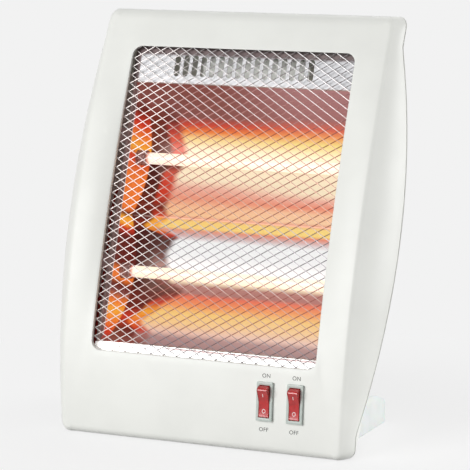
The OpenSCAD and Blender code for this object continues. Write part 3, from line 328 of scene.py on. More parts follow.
softbox("front_softbox", azimuth=-24, elevation=16, size=1.5, watts=52)
softbox("right_softbox", azimuth=110, elevation=4, size=1.4, watts=57)
softbox("back_softbox", azimuth=190, elevation=40, size=1.5, watts=8)
print("three soft lamps,", LAMP_DISTANCE, "m away")

# %% [markdown]
# ## Helpers for meshes
# Most pieces of the heater are one of four forms: a skin through a row of loops, a turned piece, a
# wire along a route, or a flat outline that is pressed through. Each form gets one function that
# gives vertices and faces in millimetres. A last function makes the object, in metres.

# %% Forms
def mix(a, b, share):
    return a + (b - a) * share


def skin(loops, closed=False):
    """Joins loops of equal length; closed also joins the last loop to the first."""
    count = len(loops[0])
    points = [p for loop in loops for p in loop]
    rows = len(loops) if closed else len(loops) - 1
    faces = []
    for row in range(rows):
        below = row * count
        above = (row + 1) % len(loops) * count
        for i in range(count):
            j = (i + 1) % count
            faces.append((below + i, below + j, above + j, above + i))
    return points, faces


def capped(loops):
    """A skin with both ends filled."""
    points, faces = skin(loops)
    count = len(loops[0])
    last = len(points) - count
    faces.append(tuple(reversed(range(count))))
    faces.append(tuple(last + i for i in range(count)))
    return points, faces


def ring(middle, side, other, radius, steps):
    """A circle round a middle, in the plane of two directions."""
    angles = [2 * math.pi * i / steps for i in range(steps)]
    return [middle + radius * (math.cos(a) * side + math.sin(a) * other) for a in angles]


def turned(profile, place, axis, steps=48, bored=False):
    """Turns a profile of (distance along the axis, radius) round the axis through place.

    A bored piece has a closed profile that stays clear of the axis.
    """
    axis = Vector(axis).normalized()
    side = axis.orthogonal().normalized()
    loops = [ring(Vector(place) + axis * along, side, axis.cross(side), radius, steps)
             for along, radius in profile]
    return skin(loops, closed=True) if bored else capped(loops)


def swept(route, radius, steps=8, keep=(0, 1, 0)):
    """A round wire along a route; keep is a direction that the rings never turn away from."""
    loops = []
    for i, place in enumerate(route):
        before = route[max(i - 1, 0)]
        after = route[min(i + 1, len(route) - 1)]
        way = (Vector(after) - Vector(before)).normalized()
        side = way.cross(Vector(keep)).normalized()
        loops.append(ring(Vector(place), side, side.cross(way), radius, steps))
    return capped(loops)


def together(*forms):
    """Several forms as one."""
    points = []
    faces = []
    for some_points, some_faces in forms:
        start = len(points)
        points.extend(some_points)
        faces.extend(tuple(start + i for i in face) for face in some_faces)
    return points, faces


print("four forms: skin, turned, swept, and a pressed outline")

# %% From a form to a piece
SHARP_FROM = 32


def make_mesh(name, form):
    mesh = bpy.data.meshes.new(name)
    mesh.from_pydata([tuple(Vector(p) * MM) for p in form[0]], [], form[1])
    work = bmesh.new()
    work.from_mesh(mesh)
    bmesh.ops.recalc_face_normals(work, faces=work.faces)
    work.to_mesh(mesh)
    work.free()
    return mesh


def smooth(mesh, sharp_from=SHARP_FROM):
    """Shades it smooth, but keeps edges sharp that turn by more than sharp_from degrees."""
    mesh.shade_smooth()
    mesh.set_sharp_from_angle(angle=sharp_from * DEGREES)


def piece(name, form, material, body="root", instead_of=(), sharp_from=SHARP_FROM):
    """Makes a piece that rides on a body and stands for the CAD nodes in instead_of."""
    mesh = make_mesh(name, form)
    smooth(mesh, sharp_from)
    mesh.materials.append(material)
    obj = link(bpy.data.objects.new(name, mesh))
    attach(obj, body)
    if instead_of:
        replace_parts(obj, *instead_of)
    return obj


def finished_mesh(obj):
    """The mesh of an object as its modifiers or its text leave it."""
    return bpy.data.meshes.new_from_object(obj.evaluated_get(bpy.context.evaluated_depsgraph_get()))


def cut(obj, form, how="DIFFERENCE"):
    """Cuts a form out of a piece, or adds it with how="UNION"."""
    tool = link(bpy.data.objects.new("tool", make_mesh("tool", form)))
    step = obj.modifiers.new("cut", "BOOLEAN")
    step.operation = how
    step.solver = "EXACT"
    step.object = tool
    result = finished_mesh(obj)
    obj.modifiers.clear()
    obj.data = result
    smooth(result)
    bpy.data.objects.remove(tool)


print("edges stay sharp from", SHARP_FROM, "degrees")

# %% [markdown]
# ## White moulded shells
# The casing is two moulded shells of pale ABS that meet in a thin seam. Plain boxes with rounded
# edges would miss the look: the face leans back more and more, the sides flare out and the seam
# bows. So both shells are skins through loops that follow the same formulas as the CAD, with many
# more steps, a rounded lip at the window and broken edges at the seam.

# %% White plastic
casing_white = finish("casing_white", seen(238, 239, 234), 0.42, Specular_IOR_Level=0.42,
                      Coat_Weight=0.08, Coat_Roughness=0.25)
blended(casing_white, grain(casing_white, 42, 3.0), seen(236, 237, 232), seen(240, 241, 236))
roughened(casing_white, grain(casing_white, 9, 4.0), 0.36, 0.48)
textured(casing_white, grain(casing_white, 0.55, 2.0), 0.012)
print("white plastic with a fine moulded texture")

# %% The casing's curves, in millimetres
BODY_H = 345.0
FACE_W = 255.0
FACE_CORNER = 8.0
FOOT_NARROWING = 4.2
WIDEST = 222.5
FACE_SETBACK = BODY_H * math.tan(17.02 * DEGREES)
FACE_SWING = BODY_H * math.tan(28.8 * DEGREES)
BACK_LEAN = 11.1 * DEGREES
BASE_DEPTH = 82
WALL = 2.5
CREASE_ROLL = 5.0
RIM_ROLL = 7.0
SIDE_FLARE = 0.6
SIDE_BOW = 0.28
SIDE_DEEPEST = 36
SIDE_LEAST = 13
SIDE_DEEPEST_Z = 170
SIDE_TAPER = 22.4
SIDE_TAPER_REACH = 0.43 * BODY_H
SEAM_GAP = 0.2
WINDOW_LOW = 71.2
WINDOW_HIGH = 316.1
WINDOW_W = 200.0
WINDOW_CORNER = 8
WINDOW_DISH = 5.3
WINDOW_MID = (WINDOW_LOW + WINDOW_HIGH) / 2
WINDOW_HALF = (WINDOW_HIGH - WINDOW_LOW) / 2
FRONT_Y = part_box("front_shell")[0].y / MM


def face_y(z):
    """The face leans back more and more, and turns upright again at the top."""
    t = z / BODY_H
    return FRONT_Y + FACE_SETBACK * (3 * t ** 2 - 2 * t ** 3) + FACE_SWING * (t ** 3 - t ** 2)


def back_y(z):
    return FRONT_Y + BASE_DEPTH + z * math.tan(BACK_LEAN)


def dish(z):
    """How far the window's edge lies behind the face's curve."""
    return WINDOW_DISH * max(0, 1 - ((z - WINDOW_MID) / WINDOW_HALF) ** 2)


def window_y(z):
    return face_y(z) + dish(z)


def side_depth(z):
    """How far behind the face the side runs to the seam, which bows."""
    return max(SIDE_LEAST, SIDE_DEEPEST - SIDE_TAPER * ((z - SIDE_DEEPEST_Z) / SIDE_TAPER_REACH) ** 2)


def outline(width, narrowing, low, high, radius, counts=(64, 40, 10)):
    """Round the front view from the lower left corner: x, z and the outward direction."""
    side_n, edge_n, corner_n = counts

    def half(z):
        return width / 2 - narrowing * (z / WIDEST - 1) ** 2

    def corner(x, z, start):
        turns = [(start + 90 * i / corner_n) * DEGREES for i in range(corner_n)]
        return [(x + radius * math.cos(a), z + radius * math.sin(a), math.cos(a), math.sin(a))
                for a in turns]

    foot = half(low + radius) - radius
    top = half(high - radius) - radius
    rises = [mix(low + radius, high - radius, i / side_n) for i in range(side_n)]
    falls = [mix(high - radius, low + radius, i / side_n) for i in range(side_n)]
    return ([(mix(-foot, foot, i / edge_n), low, 0, -1) for i in range(edge_n)]
            + corner(foot, low + radius, -90)
            + [(half(z), z, 1, 0) for z in rises]
            + corner(top, high - radius, 0)
            + [(mix(top, -top, i / edge_n), high, 0, 1) for i in range(edge_n)]
            + corner(-top, high - radius, 90)
            + [(-half(z), z, -1, 0) for z in falls]
            + corner(-foot, low + radius, 180))


face_outline = outline(FACE_W, FOOT_NARROWING, 0, BODY_H, FACE_CORNER)
window_outline = outline(WINDOW_W, 0, WINDOW_LOW, WINDOW_HIGH, WINDOW_CORNER)
print(len(face_outline), "sections round the face; front at y =", round(FRONT_Y, 2), "mm")

# %% Places on the front shell
LIP = 0.9
EDGE_BREAK = 0.45


def behind_face(p, out, depth):
    """The place that lies out from the outline point p and depth behind the face."""
    z = min(max(p[1] + p[3] * out, 0), BODY_H)
    return (p[0] + p[2] * out, face_y(z) + depth, z)


def flare(p):
    """How far the side opens per mm of depth, from the crease to the seam."""
    return SIDE_FLARE * p[2] ** 2


def crease_flare(p):
    """The same, just behind the crease: the side bows out there and turns straighter later."""
    return (SIDE_FLARE + SIDE_BOW) * p[2] ** 2


def turn_to(slope):
    """The angle through which the edge rolls until it meets a side of this flare."""
    return math.pi / 2 - math.atan(slope)


def roll_at(p):
    """Radius of the rolled edge: a tight crease at the sides, rounder at the top and the foot."""
    return mix(RIM_ROLL, CREASE_ROLL, p[2] ** 2)


def roll_in(p):
    return roll_at(p) * math.tan(turn_to(crease_flare(p)) / 2)


def face_place(p, q, share, depth):
    x = mix(q[0], p[0] - p[2] * roll_in(p), share)
    z = mix(q[1], p[1] - p[3] * roll_in(p), share)
    return (x, face_y(z) + dish(q[1]) * (1 - share) ** 2 + depth, z)


def rolled(p, inset, share):
    turn = turn_to(crease_flare(p)) * share
    radius = roll_at(p) - inset
    return behind_face(p, radius * math.sin(turn) - roll_in(p), roll_at(p) - radius * math.cos(turn))


def side_place(p, inset, share, end):
    """On the side, from the crease (share 0) to end behind the face."""
    slope = crease_flare(p)
    start = roll_at(p) * (1 - math.cos(turn_to(slope)))
    whole = side_depth(p[1])
    depth = mix(start, end, share)
    bend = (slope - flare(p)) * whole / (whole - start) ** 2
    here = slope - 2 * bend * (depth - start)
    out = slope * depth - bend * (depth - start) ** 2
    return behind_face(p, out - inset * math.hypot(1, here), depth)


def seam_place(p, inset, gap):
    depth = side_depth(p[1]) + gap
    out = flare(p) * depth - inset * math.hypot(1, flare(p))
    return behind_face(p, out, depth)


side_angle = math.degrees(math.atan(SIDE_FLARE + SIDE_BOW))
print("behind the crease the side opens by", round(side_angle, 1), "degrees")

# %% Front shell
LIP_STEPS = 4
FACE_STEPS = 12
ROLL_STEPS = 10
SIDE_STEPS = 10
INNER_SIDE_STEPS = 5
INNER_STEPS = 6


def front_section(p, q):
    """One closed section: lip, face, roll and side outside, then back along the inside."""
    span = math.hypot(p[0] - q[0], p[1] - q[1]) - roll_at(p)
    lip = LIP / span
    turns = [i / LIP_STEPS * math.pi / 2 for i in range(LIP_STEPS + 1)]
    outer = [face_place(p, q, lip * (1 - math.sin(a)), LIP * (1 - math.cos(a)))
             for a in reversed(turns)]
    outer += [face_place(p, q, mix(lip, 1, i / FACE_STEPS), 0) for i in range(1, FACE_STEPS)]
    outer += [rolled(p, 0, i / ROLL_STEPS) for i in range(ROLL_STEPS + 1)]
    depth = side_depth(p[1])
    outer += [side_place(p, 0, i / SIDE_STEPS, depth - EDGE_BREAK) for i in range(1, SIDE_STEPS + 1)]
    outer.append(seam_place(p, EDGE_BREAK, 0))
    inner = [seam_place(p, WALL, 0)]
    inner += [side_place(p, WALL, 1 - i / INNER_SIDE_STEPS, depth) for i in range(1, INNER_SIDE_STEPS)]
    inner += [rolled(p, WALL, 1 - i / INNER_STEPS) for i in range(INNER_STEPS + 1)]
    inner += [face_place(p, q, 1 - i / INNER_STEPS, WALL) for i in range(1, INNER_STEPS + 1)]
    return outer + inner


front_form = skin([front_section(p, q) for p, q in zip(face_outline, window_outline)], closed=True)
front_shell = piece("front_casing", front_form, casing_white,
                    instead_of=["front_shell"])
print(len(front_form[1]), "faces on the front shell")

# %% [markdown]
# ## Rear shell
# The rear shell carries on from the seam and rounds into a flat back panel, with rows of air slots,
# a hand grip, four deep screw wells and the hole for the cord's gland. The smooth part is a skin
# again. The openings are cut with solids that widen a little at their mouth, so every opening gets
# a broken edge that catches the light, as a moulded one has.

# %% Outlines for openings
def rounded_box(width, height, radius, steps=6):
    """A rectangle with round corners, counter-clockwise: points (x, z) round its middle."""
    points = []
    for sx, sz, start in ((1, -1, -90), (1, 1, 0), (-1, 1, 90), (-1, -1, 180)):
        for i in range(steps + 1):
            a = (start + 90 * i / steps) * DEGREES
            points.append((sx * (width / 2 - radius) + radius * math.cos(a),
                           sz * (height / 2 - radius) + radius * math.sin(a)))
    return points


def on_back(x, z, local):
    """A place in the back panel's own frame: x, outward, and up along the panel."""
    out, up = local[1], local[2]
    return (x + local[0], back_y(z) + out * math.cos(BACK_LEAN) + up * math.sin(BACK_LEAN),
            z + up * math.cos(BACK_LEAN) - out * math.sin(BACK_LEAN))


def opening(x, z, width, height, radius, depth, mouth=0.5):
    """A solid that cuts a rounded opening with a broken edge into the back panel."""
    levels = [(-depth, 0), (-mouth, 0), (0, mouth), (3, mouth)]
    loops = []
    for out, grow in levels:
        shape = rounded_box(width + 2 * grow, height + 2 * grow, radius + grow)
        loops.append([on_back(x, z, (px, out, pz)) for px, pz in shape])
    return capped(loops)


print("the back panel leans", round(math.degrees(BACK_LEAN), 1), "degrees")

# %% Rear shell
BACK_W = 222.0
BACK_TOP = 322.0
BACK_ROUND = 14.0
FLAT_CORNER = 6
BEND_FROM = 0.72
back_outline = outline(BACK_W, 0, 0, BACK_TOP, BACK_ROUND)
flat_outline = outline(BACK_W - 2 * BACK_ROUND, 0, BACK_ROUND, BACK_TOP - BACK_ROUND, FLAT_CORNER)


def on_panel(x, z, inset):
    return Vector((x, back_y(z) - inset, z))


def rear_loops(inset, bends=12, straight=6):
    """Loops from the seam to the flat of the back panel, inset from the outer skin."""
    seam = [Vector(seam_place(p, inset, SEAM_GAP)) for p in face_outline]
    edge = [on_panel(p[0] - p[2] * inset, p[1] - p[3] * inset, inset) for p in back_outline]
    flat = [on_panel(p[0], p[1], inset) for p in flat_outline]
    start = [mix(s, e, BEND_FROM) for s, e in zip(seam, edge)]
    loops = [[mix(s, b, i / straight) for s, b in zip(seam, start)] for i in range(straight)]
    for i in range(bends + 1):
        t = i / bends
        loops.append([(1 - t) ** 2 * s + 2 * t * (1 - t) * e + t * t * f
                      for s, e, f in zip(start, edge, flat)])
    return loops


def rear_block(inset):
    """The rear shell as a full block, to trim what lies inside it or against it."""
    return capped(rear_loops(inset))


outer_loops = rear_loops(0)
broken_edge = [Vector(seam_place(p, EDGE_BREAK, SEAM_GAP)) for p in face_outline]
outer_loops[0] = [Vector(seam_place(p, 0, SEAM_GAP + EDGE_BREAK)) for p in face_outline]
rear_form = capped(rear_loops(WALL)[::-1] + [broken_edge] + outer_loops)
rear_shell = piece("rear_casing", rear_form, casing_white, instead_of=["rear_shell"])
print(len(rear_form[1]), "faces before the openings are cut")

# %% Bosses, posts and the grip's pocket
CASE_SPOTS = ((-84, 17.6), (84, 17.6), (-114.5, 290), (114.5, 290))
CASE_JOIN = 30
CASE_BOSS_D = 8
PLUNGER_DEPTH = 46
PLUNGER = Vector((0, FRONT_Y + PLUNGER_DEPTH, 0))
PLUNGER_BOSS_D = 14
PLUNGER_BOSS_H = 3.5
BLOCK_X = -58
BLOCK_DEPTH = 52
BLOCK = Vector((BLOCK_X, FRONT_Y + BLOCK_DEPTH, 0))
POST_D = 6
ALONG_X = (1, 0, 0)
ALONG_Y = (0, 1, 0)
UP = (0, 0, 1)
GRIP_Z = 288
GRIP_W = 92
GRIP_H = 22
GRIP_CORNER = 5
GRIP_DEPTH = 20
SWITCH_POST_X = 13
SWITCH_POST_TOP = 20.4
BLOCK_POST_X = 12
BLOCK_POST_TOP = 4.5


def rod(place, axis, start, end, diameter, steps=40):
    return turned([(start, diameter / 2), (end, diameter / 2)], place, axis, steps)


def case_join(z):
    """Where the bosses of the two shells meet."""
    return face_y(z) + CASE_JOIN


bosses = [rod((x, 0, z), ALONG_Y, case_join(z), back_y(z) + WALL, CASE_BOSS_D) for x, z in CASE_SPOTS]
boss_piece = piece("case_bosses", together(*bosses), casing_white)
cut(boss_piece, rear_block(WALL / 4), "INTERSECT")
boss_form = ([tuple(v.co / MM) for v in boss_piece.data.vertices],
             [tuple(face.vertices) for face in boss_piece.data.polygons])
bpy.data.objects.remove(boss_piece)
pocket_outline = rounded_box(GRIP_W + 2 * WALL, GRIP_H + 2 * WALL, GRIP_CORNER + WALL)
pocket = capped([[on_back(0, GRIP_Z, (x, out, z)) for x, z in pocket_outline]
                 for out in (-GRIP_DEPTH - WALL, -1)])
posts = [rod(middle + Vector((side * reach, 0, 0)), UP, 1, top, POST_D)
         for middle, reach, top in ((PLUNGER, SWITCH_POST_X, SWITCH_POST_TOP),
                                    (BLOCK, BLOCK_POST_X, BLOCK_POST_TOP)) for side in (-1, 1)]
plunger_boss = rod(PLUNGER, UP, 0.6, WALL + PLUNGER_BOSS_H, PLUNGER_BOSS_D)
cut(rear_shell, together(boss_form, pocket, plunger_boss, *posts), "UNION")
print(len(posts), "posts on the base, for the tip-over switch and the terminal block")

# %% Openings of the rear shell
SLOT_W = 4
SLOT_PITCH = 14
SLOTS_IN_ROW = 11
SLOT_ROWS = ((56, 40), (196, 56))
SLOT_CORNER = SLOT_W / 2 - 0.01
PANEL_CUT = 8
GLAND = (-62, 30)
GLAND_D = 15
WELL_D = 6
WELL_FLOOR = 3
WELL_OUT = 12
SCREW_BORE_D = 2.8
SCREW_BORE_L = 6
PLUNGER_BORE_D = 8.2
slots = [opening((i - SLOTS_IN_ROW // 2) * SLOT_PITCH, z + height / 2, SLOT_W, height,
                 SLOT_CORNER, PANEL_CUT) for z, height in SLOT_ROWS for i in range(SLOTS_IN_ROW)]
grip = opening(0, GRIP_Z, GRIP_W, GRIP_H, GRIP_CORNER, GRIP_DEPTH, mouth=0.9)
gland_hole = opening(*GLAND, GLAND_D, GLAND_D, GLAND_D / 2 - 0.01, PANEL_CUT, mouth=0.3)
wells = []
for x, z in CASE_SPOTS:
    floor_y = case_join(z) + WELL_FLOOR
    wells.append(rod((x, 0, z), ALONG_Y, floor_y, back_y(z) + WELL_OUT, WELL_D))
    wells.append(rod((x, 0, z), ALONG_Y, floor_y - SCREW_BORE_L, floor_y + 0.2, SCREW_BORE_D, 24))
plunger_bore = rod(PLUNGER, UP, -1, 8, PLUNGER_BORE_D, 64)
cut(rear_shell, together(*slots, grip, gland_hole, *wells, plunger_bore))
print(len(rear_shell.data.polygons), "faces on the rear shell with", len(slots), "slots")

# %% [markdown]
# ## Bosses and switch openings of the front shell
# The front shell has a boss for every case screw, four short ones for the guard, and an opening for
# each switch. Bosses could be loose rods pushed into the wall, but a moulding is one piece, so they
# are joined to it and the openings are cut, both exactly. Every boss starts inside the wall, and the
# foot of the long ones leans with the face, so that nothing stands out in front.

# %% The window's lean and the face's own frame
LEAN = math.atan((window_y(WINDOW_HIGH) - window_y(WINDOW_LOW)) / (WINDOW_HIGH - WINDOW_LOW))
LEAN_Y = (window_y(WINDOW_LOW) + window_y(WINDOW_HIGH)) / 2


def leaning(x, v, u):
    """A place in the window's leaning plane: x, depth behind the plane, height along it."""
    return (x, LEAN_Y + v * math.cos(LEAN) + u * math.sin(LEAN),
            WINDOW_MID + u * math.cos(LEAN) - v * math.sin(LEAN))


def face_lean(z):
    return math.atan(face_y(z + 0.5) - face_y(z - 0.5))


def on_face(x, z, local):
    """A place in the face's own frame at x, z: x, into the casing, up along the face."""
    a = face_lean(z)
    deep, up = local[1], local[2]
    return (x + local[0], face_y(z) + deep * math.cos(a) + up * math.sin(a),
            z + up * math.cos(a) - deep * math.sin(a))


print("the window leans", round(math.degrees(LEAN), 1), "degrees")

# %% Bosses and switch openings of the front shell
SWITCH_Z = 42.9
SWITCHES = {"left": 58.3, "right": 84.5}
SWITCH_HOLE = (12.6, 28.3, 0.5)
SWITCH_CUT = 6
CASE_FIT = 0.3
GUARD_BOSS_D = 7
GUARD_BOSS_X = 114.5
GUARD_BOSS_U = 54
GUARD_BOSS_END = 7.1


def front_boss(x, z, steps=40):
    """A boss for a case screw: it starts inside the wall, and its foot leans with the face."""
    circle = ring(Vector((0, 0, 0)), Vector(ALONG_X), Vector(UP), CASE_BOSS_D / 2, steps)
    foot = [(x + p.x, face_y(z + p.z) + WALL - 1, z + p.z) for p in circle]
    end = [(x + p.x, case_join(z) - CASE_FIT, z + p.z) for p in circle]
    return capped([foot, end])


front_bosses = [front_boss(x, z) for x, z in CASE_SPOTS]
lean_axis = Vector(leaning(0, 1, 0)) - Vector(leaning(0, 0, 0))
for side in (-1, 1):
    for u in (-GUARD_BOSS_U, GUARD_BOSS_U):
        spot = leaning(side * GUARD_BOSS_X, 0, u)
        depth = (face_y(spot[2]) - spot[1]) * math.cos(LEAN)
        front_bosses.append(rod(spot, lean_axis, depth + WALL - 1, GUARD_BOSS_END, GUARD_BOSS_D))
cut(front_shell, together(*front_bosses), "UNION")
switch_holes = [capped([[on_face(x, SWITCH_Z, (px, deep, pz)) for px, pz in rounded_box(*SWITCH_HOLE)]
                        for deep in (-SWITCH_CUT, SWITCH_CUT)]) for x in SWITCHES.values()]
cut(front_shell, together(*switch_holes))
print(len(front_shell.data.polygons), "faces on the front shell, with", len(front_bosses), "bosses")

# %% [markdown]
# ## Colours that follow the heater's own axes
# The painted glow, and the painted light and shade on the guard and the plates, change from place
# to place. A picture laid over the heater could do that, but it would be stretched on the sides.
# Ramps along the lean and across the heater stay sharp everywhere, and each of their stops is a
# plain number in millimetres.

# %% Colours by place
LOW_U = -135.0
HIGH_U = 135.0


def measured(material, way):
    """How far a place lies along a direction, in metres."""
    where = add(material, "TexCoord")
    along = add(material, "VectorMath", operation="DOT_PRODUCT")
    along.inputs[1].default_value = way
    wire_up(material, where.outputs["Object"], along, 0)
    return along.outputs["Value"]


def spread(material, value, start, end, how="SMOOTHSTEP"):
    """From 0 at start to 1 at end, both in mm."""
    return eased(material, value, start * MM, end * MM, how=how)


def height_share(material):
    """Height along the lean, as 0 at LOW_U and 1 at HIGH_U."""
    middle = LEAN_Y * math.sin(LEAN) + WINDOW_MID * math.cos(LEAN)
    height = measured(material, (0, math.sin(LEAN), math.cos(LEAN)))
    return spread(material, height, middle + LOW_U, middle + HIGH_U, "LINEAR")


def deeper(material, start, end):
    """0 nearer to the window's leaning plane than start, and 1 further behind it than end."""
    plane = LEAN_Y * math.cos(LEAN) - WINDOW_MID * math.sin(LEAN)
    depth = measured(material, (0, math.cos(LEAN), -math.sin(LEAN)))
    return spread(material, depth, plane + start, plane + end)


def across(material):
    """The place along x."""
    return measured(material, ALONG_X)


def sideways(material, start, end):
    """0 to the left of start and 1 to the right of end."""
    return spread(material, across(material), start, end)


def outward(material, start, end):
    """The same from the heater's middle to either side."""
    size = add(material, "Math", operation="ABSOLUTE")
    wire_up(material, across(material), size, 0)
    return spread(material, size.outputs["Value"], start, end)


print("heights run from", LOW_U, "to", HIGH_U, "mm along the lean")

# %% Bands, plain colours and their mixes
def ramp_share(height):
    """Where a height lies on a ramp."""
    return (height - LOW_U) / (HIGH_U - LOW_U)


def ramped(material, share, stops):
    """A ramp through stops of (height, linear colour)."""
    ramp = add(material, "ValToRGB")
    marks = ramp.color_ramp.elements
    marks.remove(marks[1])
    marks[0].position = ramp_share(stops[0][0])
    marks[0].color = stops[0][1]
    for height, colour in stops[1:]:
        marks.new(ramp_share(height)).color = colour
    wire_up(material, share, ramp, "Fac")
    return ramp


def bands(material, stops):
    """A colour that changes with the height along the lean."""
    linear = [(height, seen(*colour)) for height, colour in stops]
    return ramped(material, height_share(material), linear).outputs["Color"]


def plain(material, colour):
    """A colour as a node of its own, to be mixed."""
    node = add(material, "RGB")
    node.outputs["Color"].default_value = seen(*colour)
    return node.outputs["Color"]


def crossed(material, share, first, second):
    """first where share is 0, second where it is 1."""
    blend = add(material, "Mix", data_type="RGBA")
    wire_up(material, share, blend, "Factor")
    wire_up(material, first, blend, "A")
    wire_up(material, second, blend, "B")
    return blend.outputs["Result"]


print("a band of 1 mm is", round(ramp_share(1) - ramp_share(0), 4), "of a ramp")

# %% [markdown]
# ## Wire guard
# The guard keeps fingers off the hot bars. It is welded from two layers of thin straight wire that
# cross in flat diamonds, and it bows with the window. A flat picture of wires would look dead from
# the side, so every wire is a real round wire that follows the bowed surface. Each layer has its own
# chrome with painted light: one is painted lit and the other painted shaded, both are painted lit at
# the left end, and both carry a painted reflection of the glow by height.

# %% Wires of the guard
DIAMOND_W = 11.7
DIAMOND_H = 6.8
WIRE_R = 0.34
WELD = 0.3
GUARD_CLEAR = 0.8
GUARD_FRONT = WALL + GUARD_CLEAR
GUARD_LAP = 4.0
GUARD_CORNER = WINDOW_CORNER + GUARD_LAP
GUARD_REACH = int(WINDOW_W / 2 + GUARD_LAP)
WIRES_EACH_WAY = 27
SHORTEST_WIRE = 6
WIRE_STEPS = 12


def behind_window(x, z):
    """True where the guard's sheet reaches, with round corners."""
    over_x = max(0, abs(x) - (WINDOW_W / 2 + GUARD_LAP - GUARD_CORNER))
    over_z = max(0, abs(z - WINDOW_MID) - (WINDOW_HALF + GUARD_LAP - GUARD_CORNER))
    return math.hypot(over_x, over_z) <= GUARD_CORNER


def guard_wire(rise, level, depth):
    """One straight wire: its height at the middle is level, and it climbs by rise per mm."""
    inside = [x for x in range(-GUARD_REACH, GUARD_REACH + 1) if behind_window(x, level + rise * x)]
    if len(inside) < SHORTEST_WIRE:
        return None
    route = []
    for i in range(WIRE_STEPS + 1):
        x = mix(inside[0], inside[-1], i / WIRE_STEPS)
        z = level + rise * x
        route.append((x, window_y(z) + depth, z))
    return swept(route, WIRE_R, 6)


def guard_layer(rise, depth):
    levels = [WINDOW_MID + step * DIAMOND_H for step in range(-WIRES_EACH_WAY, WIRES_EACH_WAY + 1)]
    return together(*[wire for wire in (guard_wire(rise, level, depth) for level in levels) if wire])


falling = guard_layer(-DIAMOND_H / DIAMOND_W, GUARD_FRONT + WIRE_R)
rising = guard_layer(DIAMOND_H / DIAMOND_W, GUARD_FRONT + (3 - WELD) * WIRE_R)
print(len(falling[1]), "and", len(rising[1]), "faces on the guard's two layers")

# %% Chrome of the guard
# Base colours with painted light: lit and shaded tones, and a painted reflection of the glow by height.
STEEL = (170, 166, 170)
PAINTED_GLOW_STEEL = (196, 180, 178)
DIM_STEEL = (100, 102, 106)
SHADED_STEEL = (116, 112, 112)
FALLING_PAINTED_GLOW = [
    (-124, (128, 122, 126)), (-112, (150, 140, 144)), (-106, (186, 150, 136)), (-76, (186, 146, 134)),
    (-70, PAINTED_GLOW_STEEL), (-64, PAINTED_GLOW_STEEL), (-58, STEEL), (-24, STEEL), (-14, (186, 150, 132)),
    (20, (186, 146, 132)), (60, (180, 140, 120)), (70, (196, 184, 184)), (120, (204, 202, 202))]
RISING_PAINTED_GLOW = [
    (-124, (100, 94, 98)), (-112, (110, 96, 98)), (-106, (140, 84, 72)), (-76, (140, 80, 70)),
    (-70, (140, 88, 86)), (-64, (130, 84, 82)), (-58, DIM_STEEL), (-24, DIM_STEEL),
    (-14, (136, 76, 62)), (20, (130, 66, 58)), (60, (126, 62, 52)), (70, (154, 110, 108)),
    (96, (150, 110, 108)), (102, SHADED_STEEL), (120, SHADED_STEEL)]
PAINTED_LIT_END = (216, 210, 208)
PAINTED_LIT_TO = -72
PAINTED_GLOW_FROM = -44


def painted_light_chrome(name, painted_glow):
    """A painted lit tone at the left end, and a painted reflection of the glow, by height, on the rest.
    """
    material = finish(name, seen(200, 194, 193), 0.34, Metallic=0.9)
    roughened(material, grain(material, 1.2, 2.0), 0.28, 0.44)
    textured(material, grain(material, 0.4, 1.0), 0.01)
    share = sideways(material, PAINTED_LIT_TO, PAINTED_GLOW_FROM)
    paint(material, crossed(material, share, plain(material, PAINTED_LIT_END), bands(material, painted_glow)))
    return material


guard = piece("guard_wires", together(falling, rising), painted_light_chrome("painted_lit_chrome", FALLING_PAINTED_GLOW),
              instead_of=["wire_guard"])
guard.data.materials.append(painted_light_chrome("painted_shaded_chrome", RISING_PAINTED_GLOW))
for face in guard.data.polygons:
    if face.index >= len(falling[1]):
        face.material_index = 1
print(len(guard.data.materials), "finishes on the guard")

# %% [markdown]
# ## Reflector
# Behind each bar the sheet is pressed into a trough with the form of a parabola, so that it throws
# the heat forward, and the two troughs meet in a ridge. It is one thin polished sheet. Its section
# is drawn once and pressed through along the heater. Where the troughs show the bars, they glow
# white and yellow, and towards the edges orange and dark red. That glow is painted by height along
# the lean, in columns from the dark left end to the bright right, so it stays in place from every
# side. The columns aren't straight, as the sheet isn't: where one starts bends with the height.

# %% Section of the reflector
REFLECTOR_HALF = 96.8
REFLECTOR_TOP = 100
REFLECTOR_FOOT = -120
FRONT_V = 7.6
TROUGH_V = 43.0
RIDGE_V = 22.0
RIDGE_U = -11.0
RIDGE_REACH = 1.6
RIDGE_SINK = 0.3
UPPER_U = 40.0
LOWER_U = -57.5
SHEET = 0.6
STATIONS = 20


def parabola(u, bottom, rim, rim_v):
    """Depth of a trough at height u: deepest at its bottom, and rim_v at its rim."""
    return TROUGH_V - (TROUGH_V - rim_v) * ((u - bottom) / (rim - bottom)) ** 2


def trough_v(u):
    """Depth of the reflector at height u."""
    if u > UPPER_U:
        return parabola(u, UPPER_U, REFLECTOR_TOP, FRONT_V)
    if u > RIDGE_U:
        return parabola(u, UPPER_U, RIDGE_U, RIDGE_V)
    if u > LOWER_U:
        return parabola(u, LOWER_U, RIDGE_U, RIDGE_V)
    return parabola(u, LOWER_U, REFLECTOR_FOOT, FRONT_V)


def ridge_round(u):
    """Depth with the ridge rounded off."""
    if abs(u - RIDGE_U) >= RIDGE_REACH:
        return trough_v(u)
    low, high = trough_v(RIDGE_U - RIDGE_REACH), trough_v(RIDGE_U + RIDGE_REACH)
    t = (u - RIDGE_U + RIDGE_REACH) / (2 * RIDGE_REACH)
    return (1 - t) ** 2 * low + 2 * t * (1 - t) * (RIDGE_V + RIDGE_SINK) + t * t * high


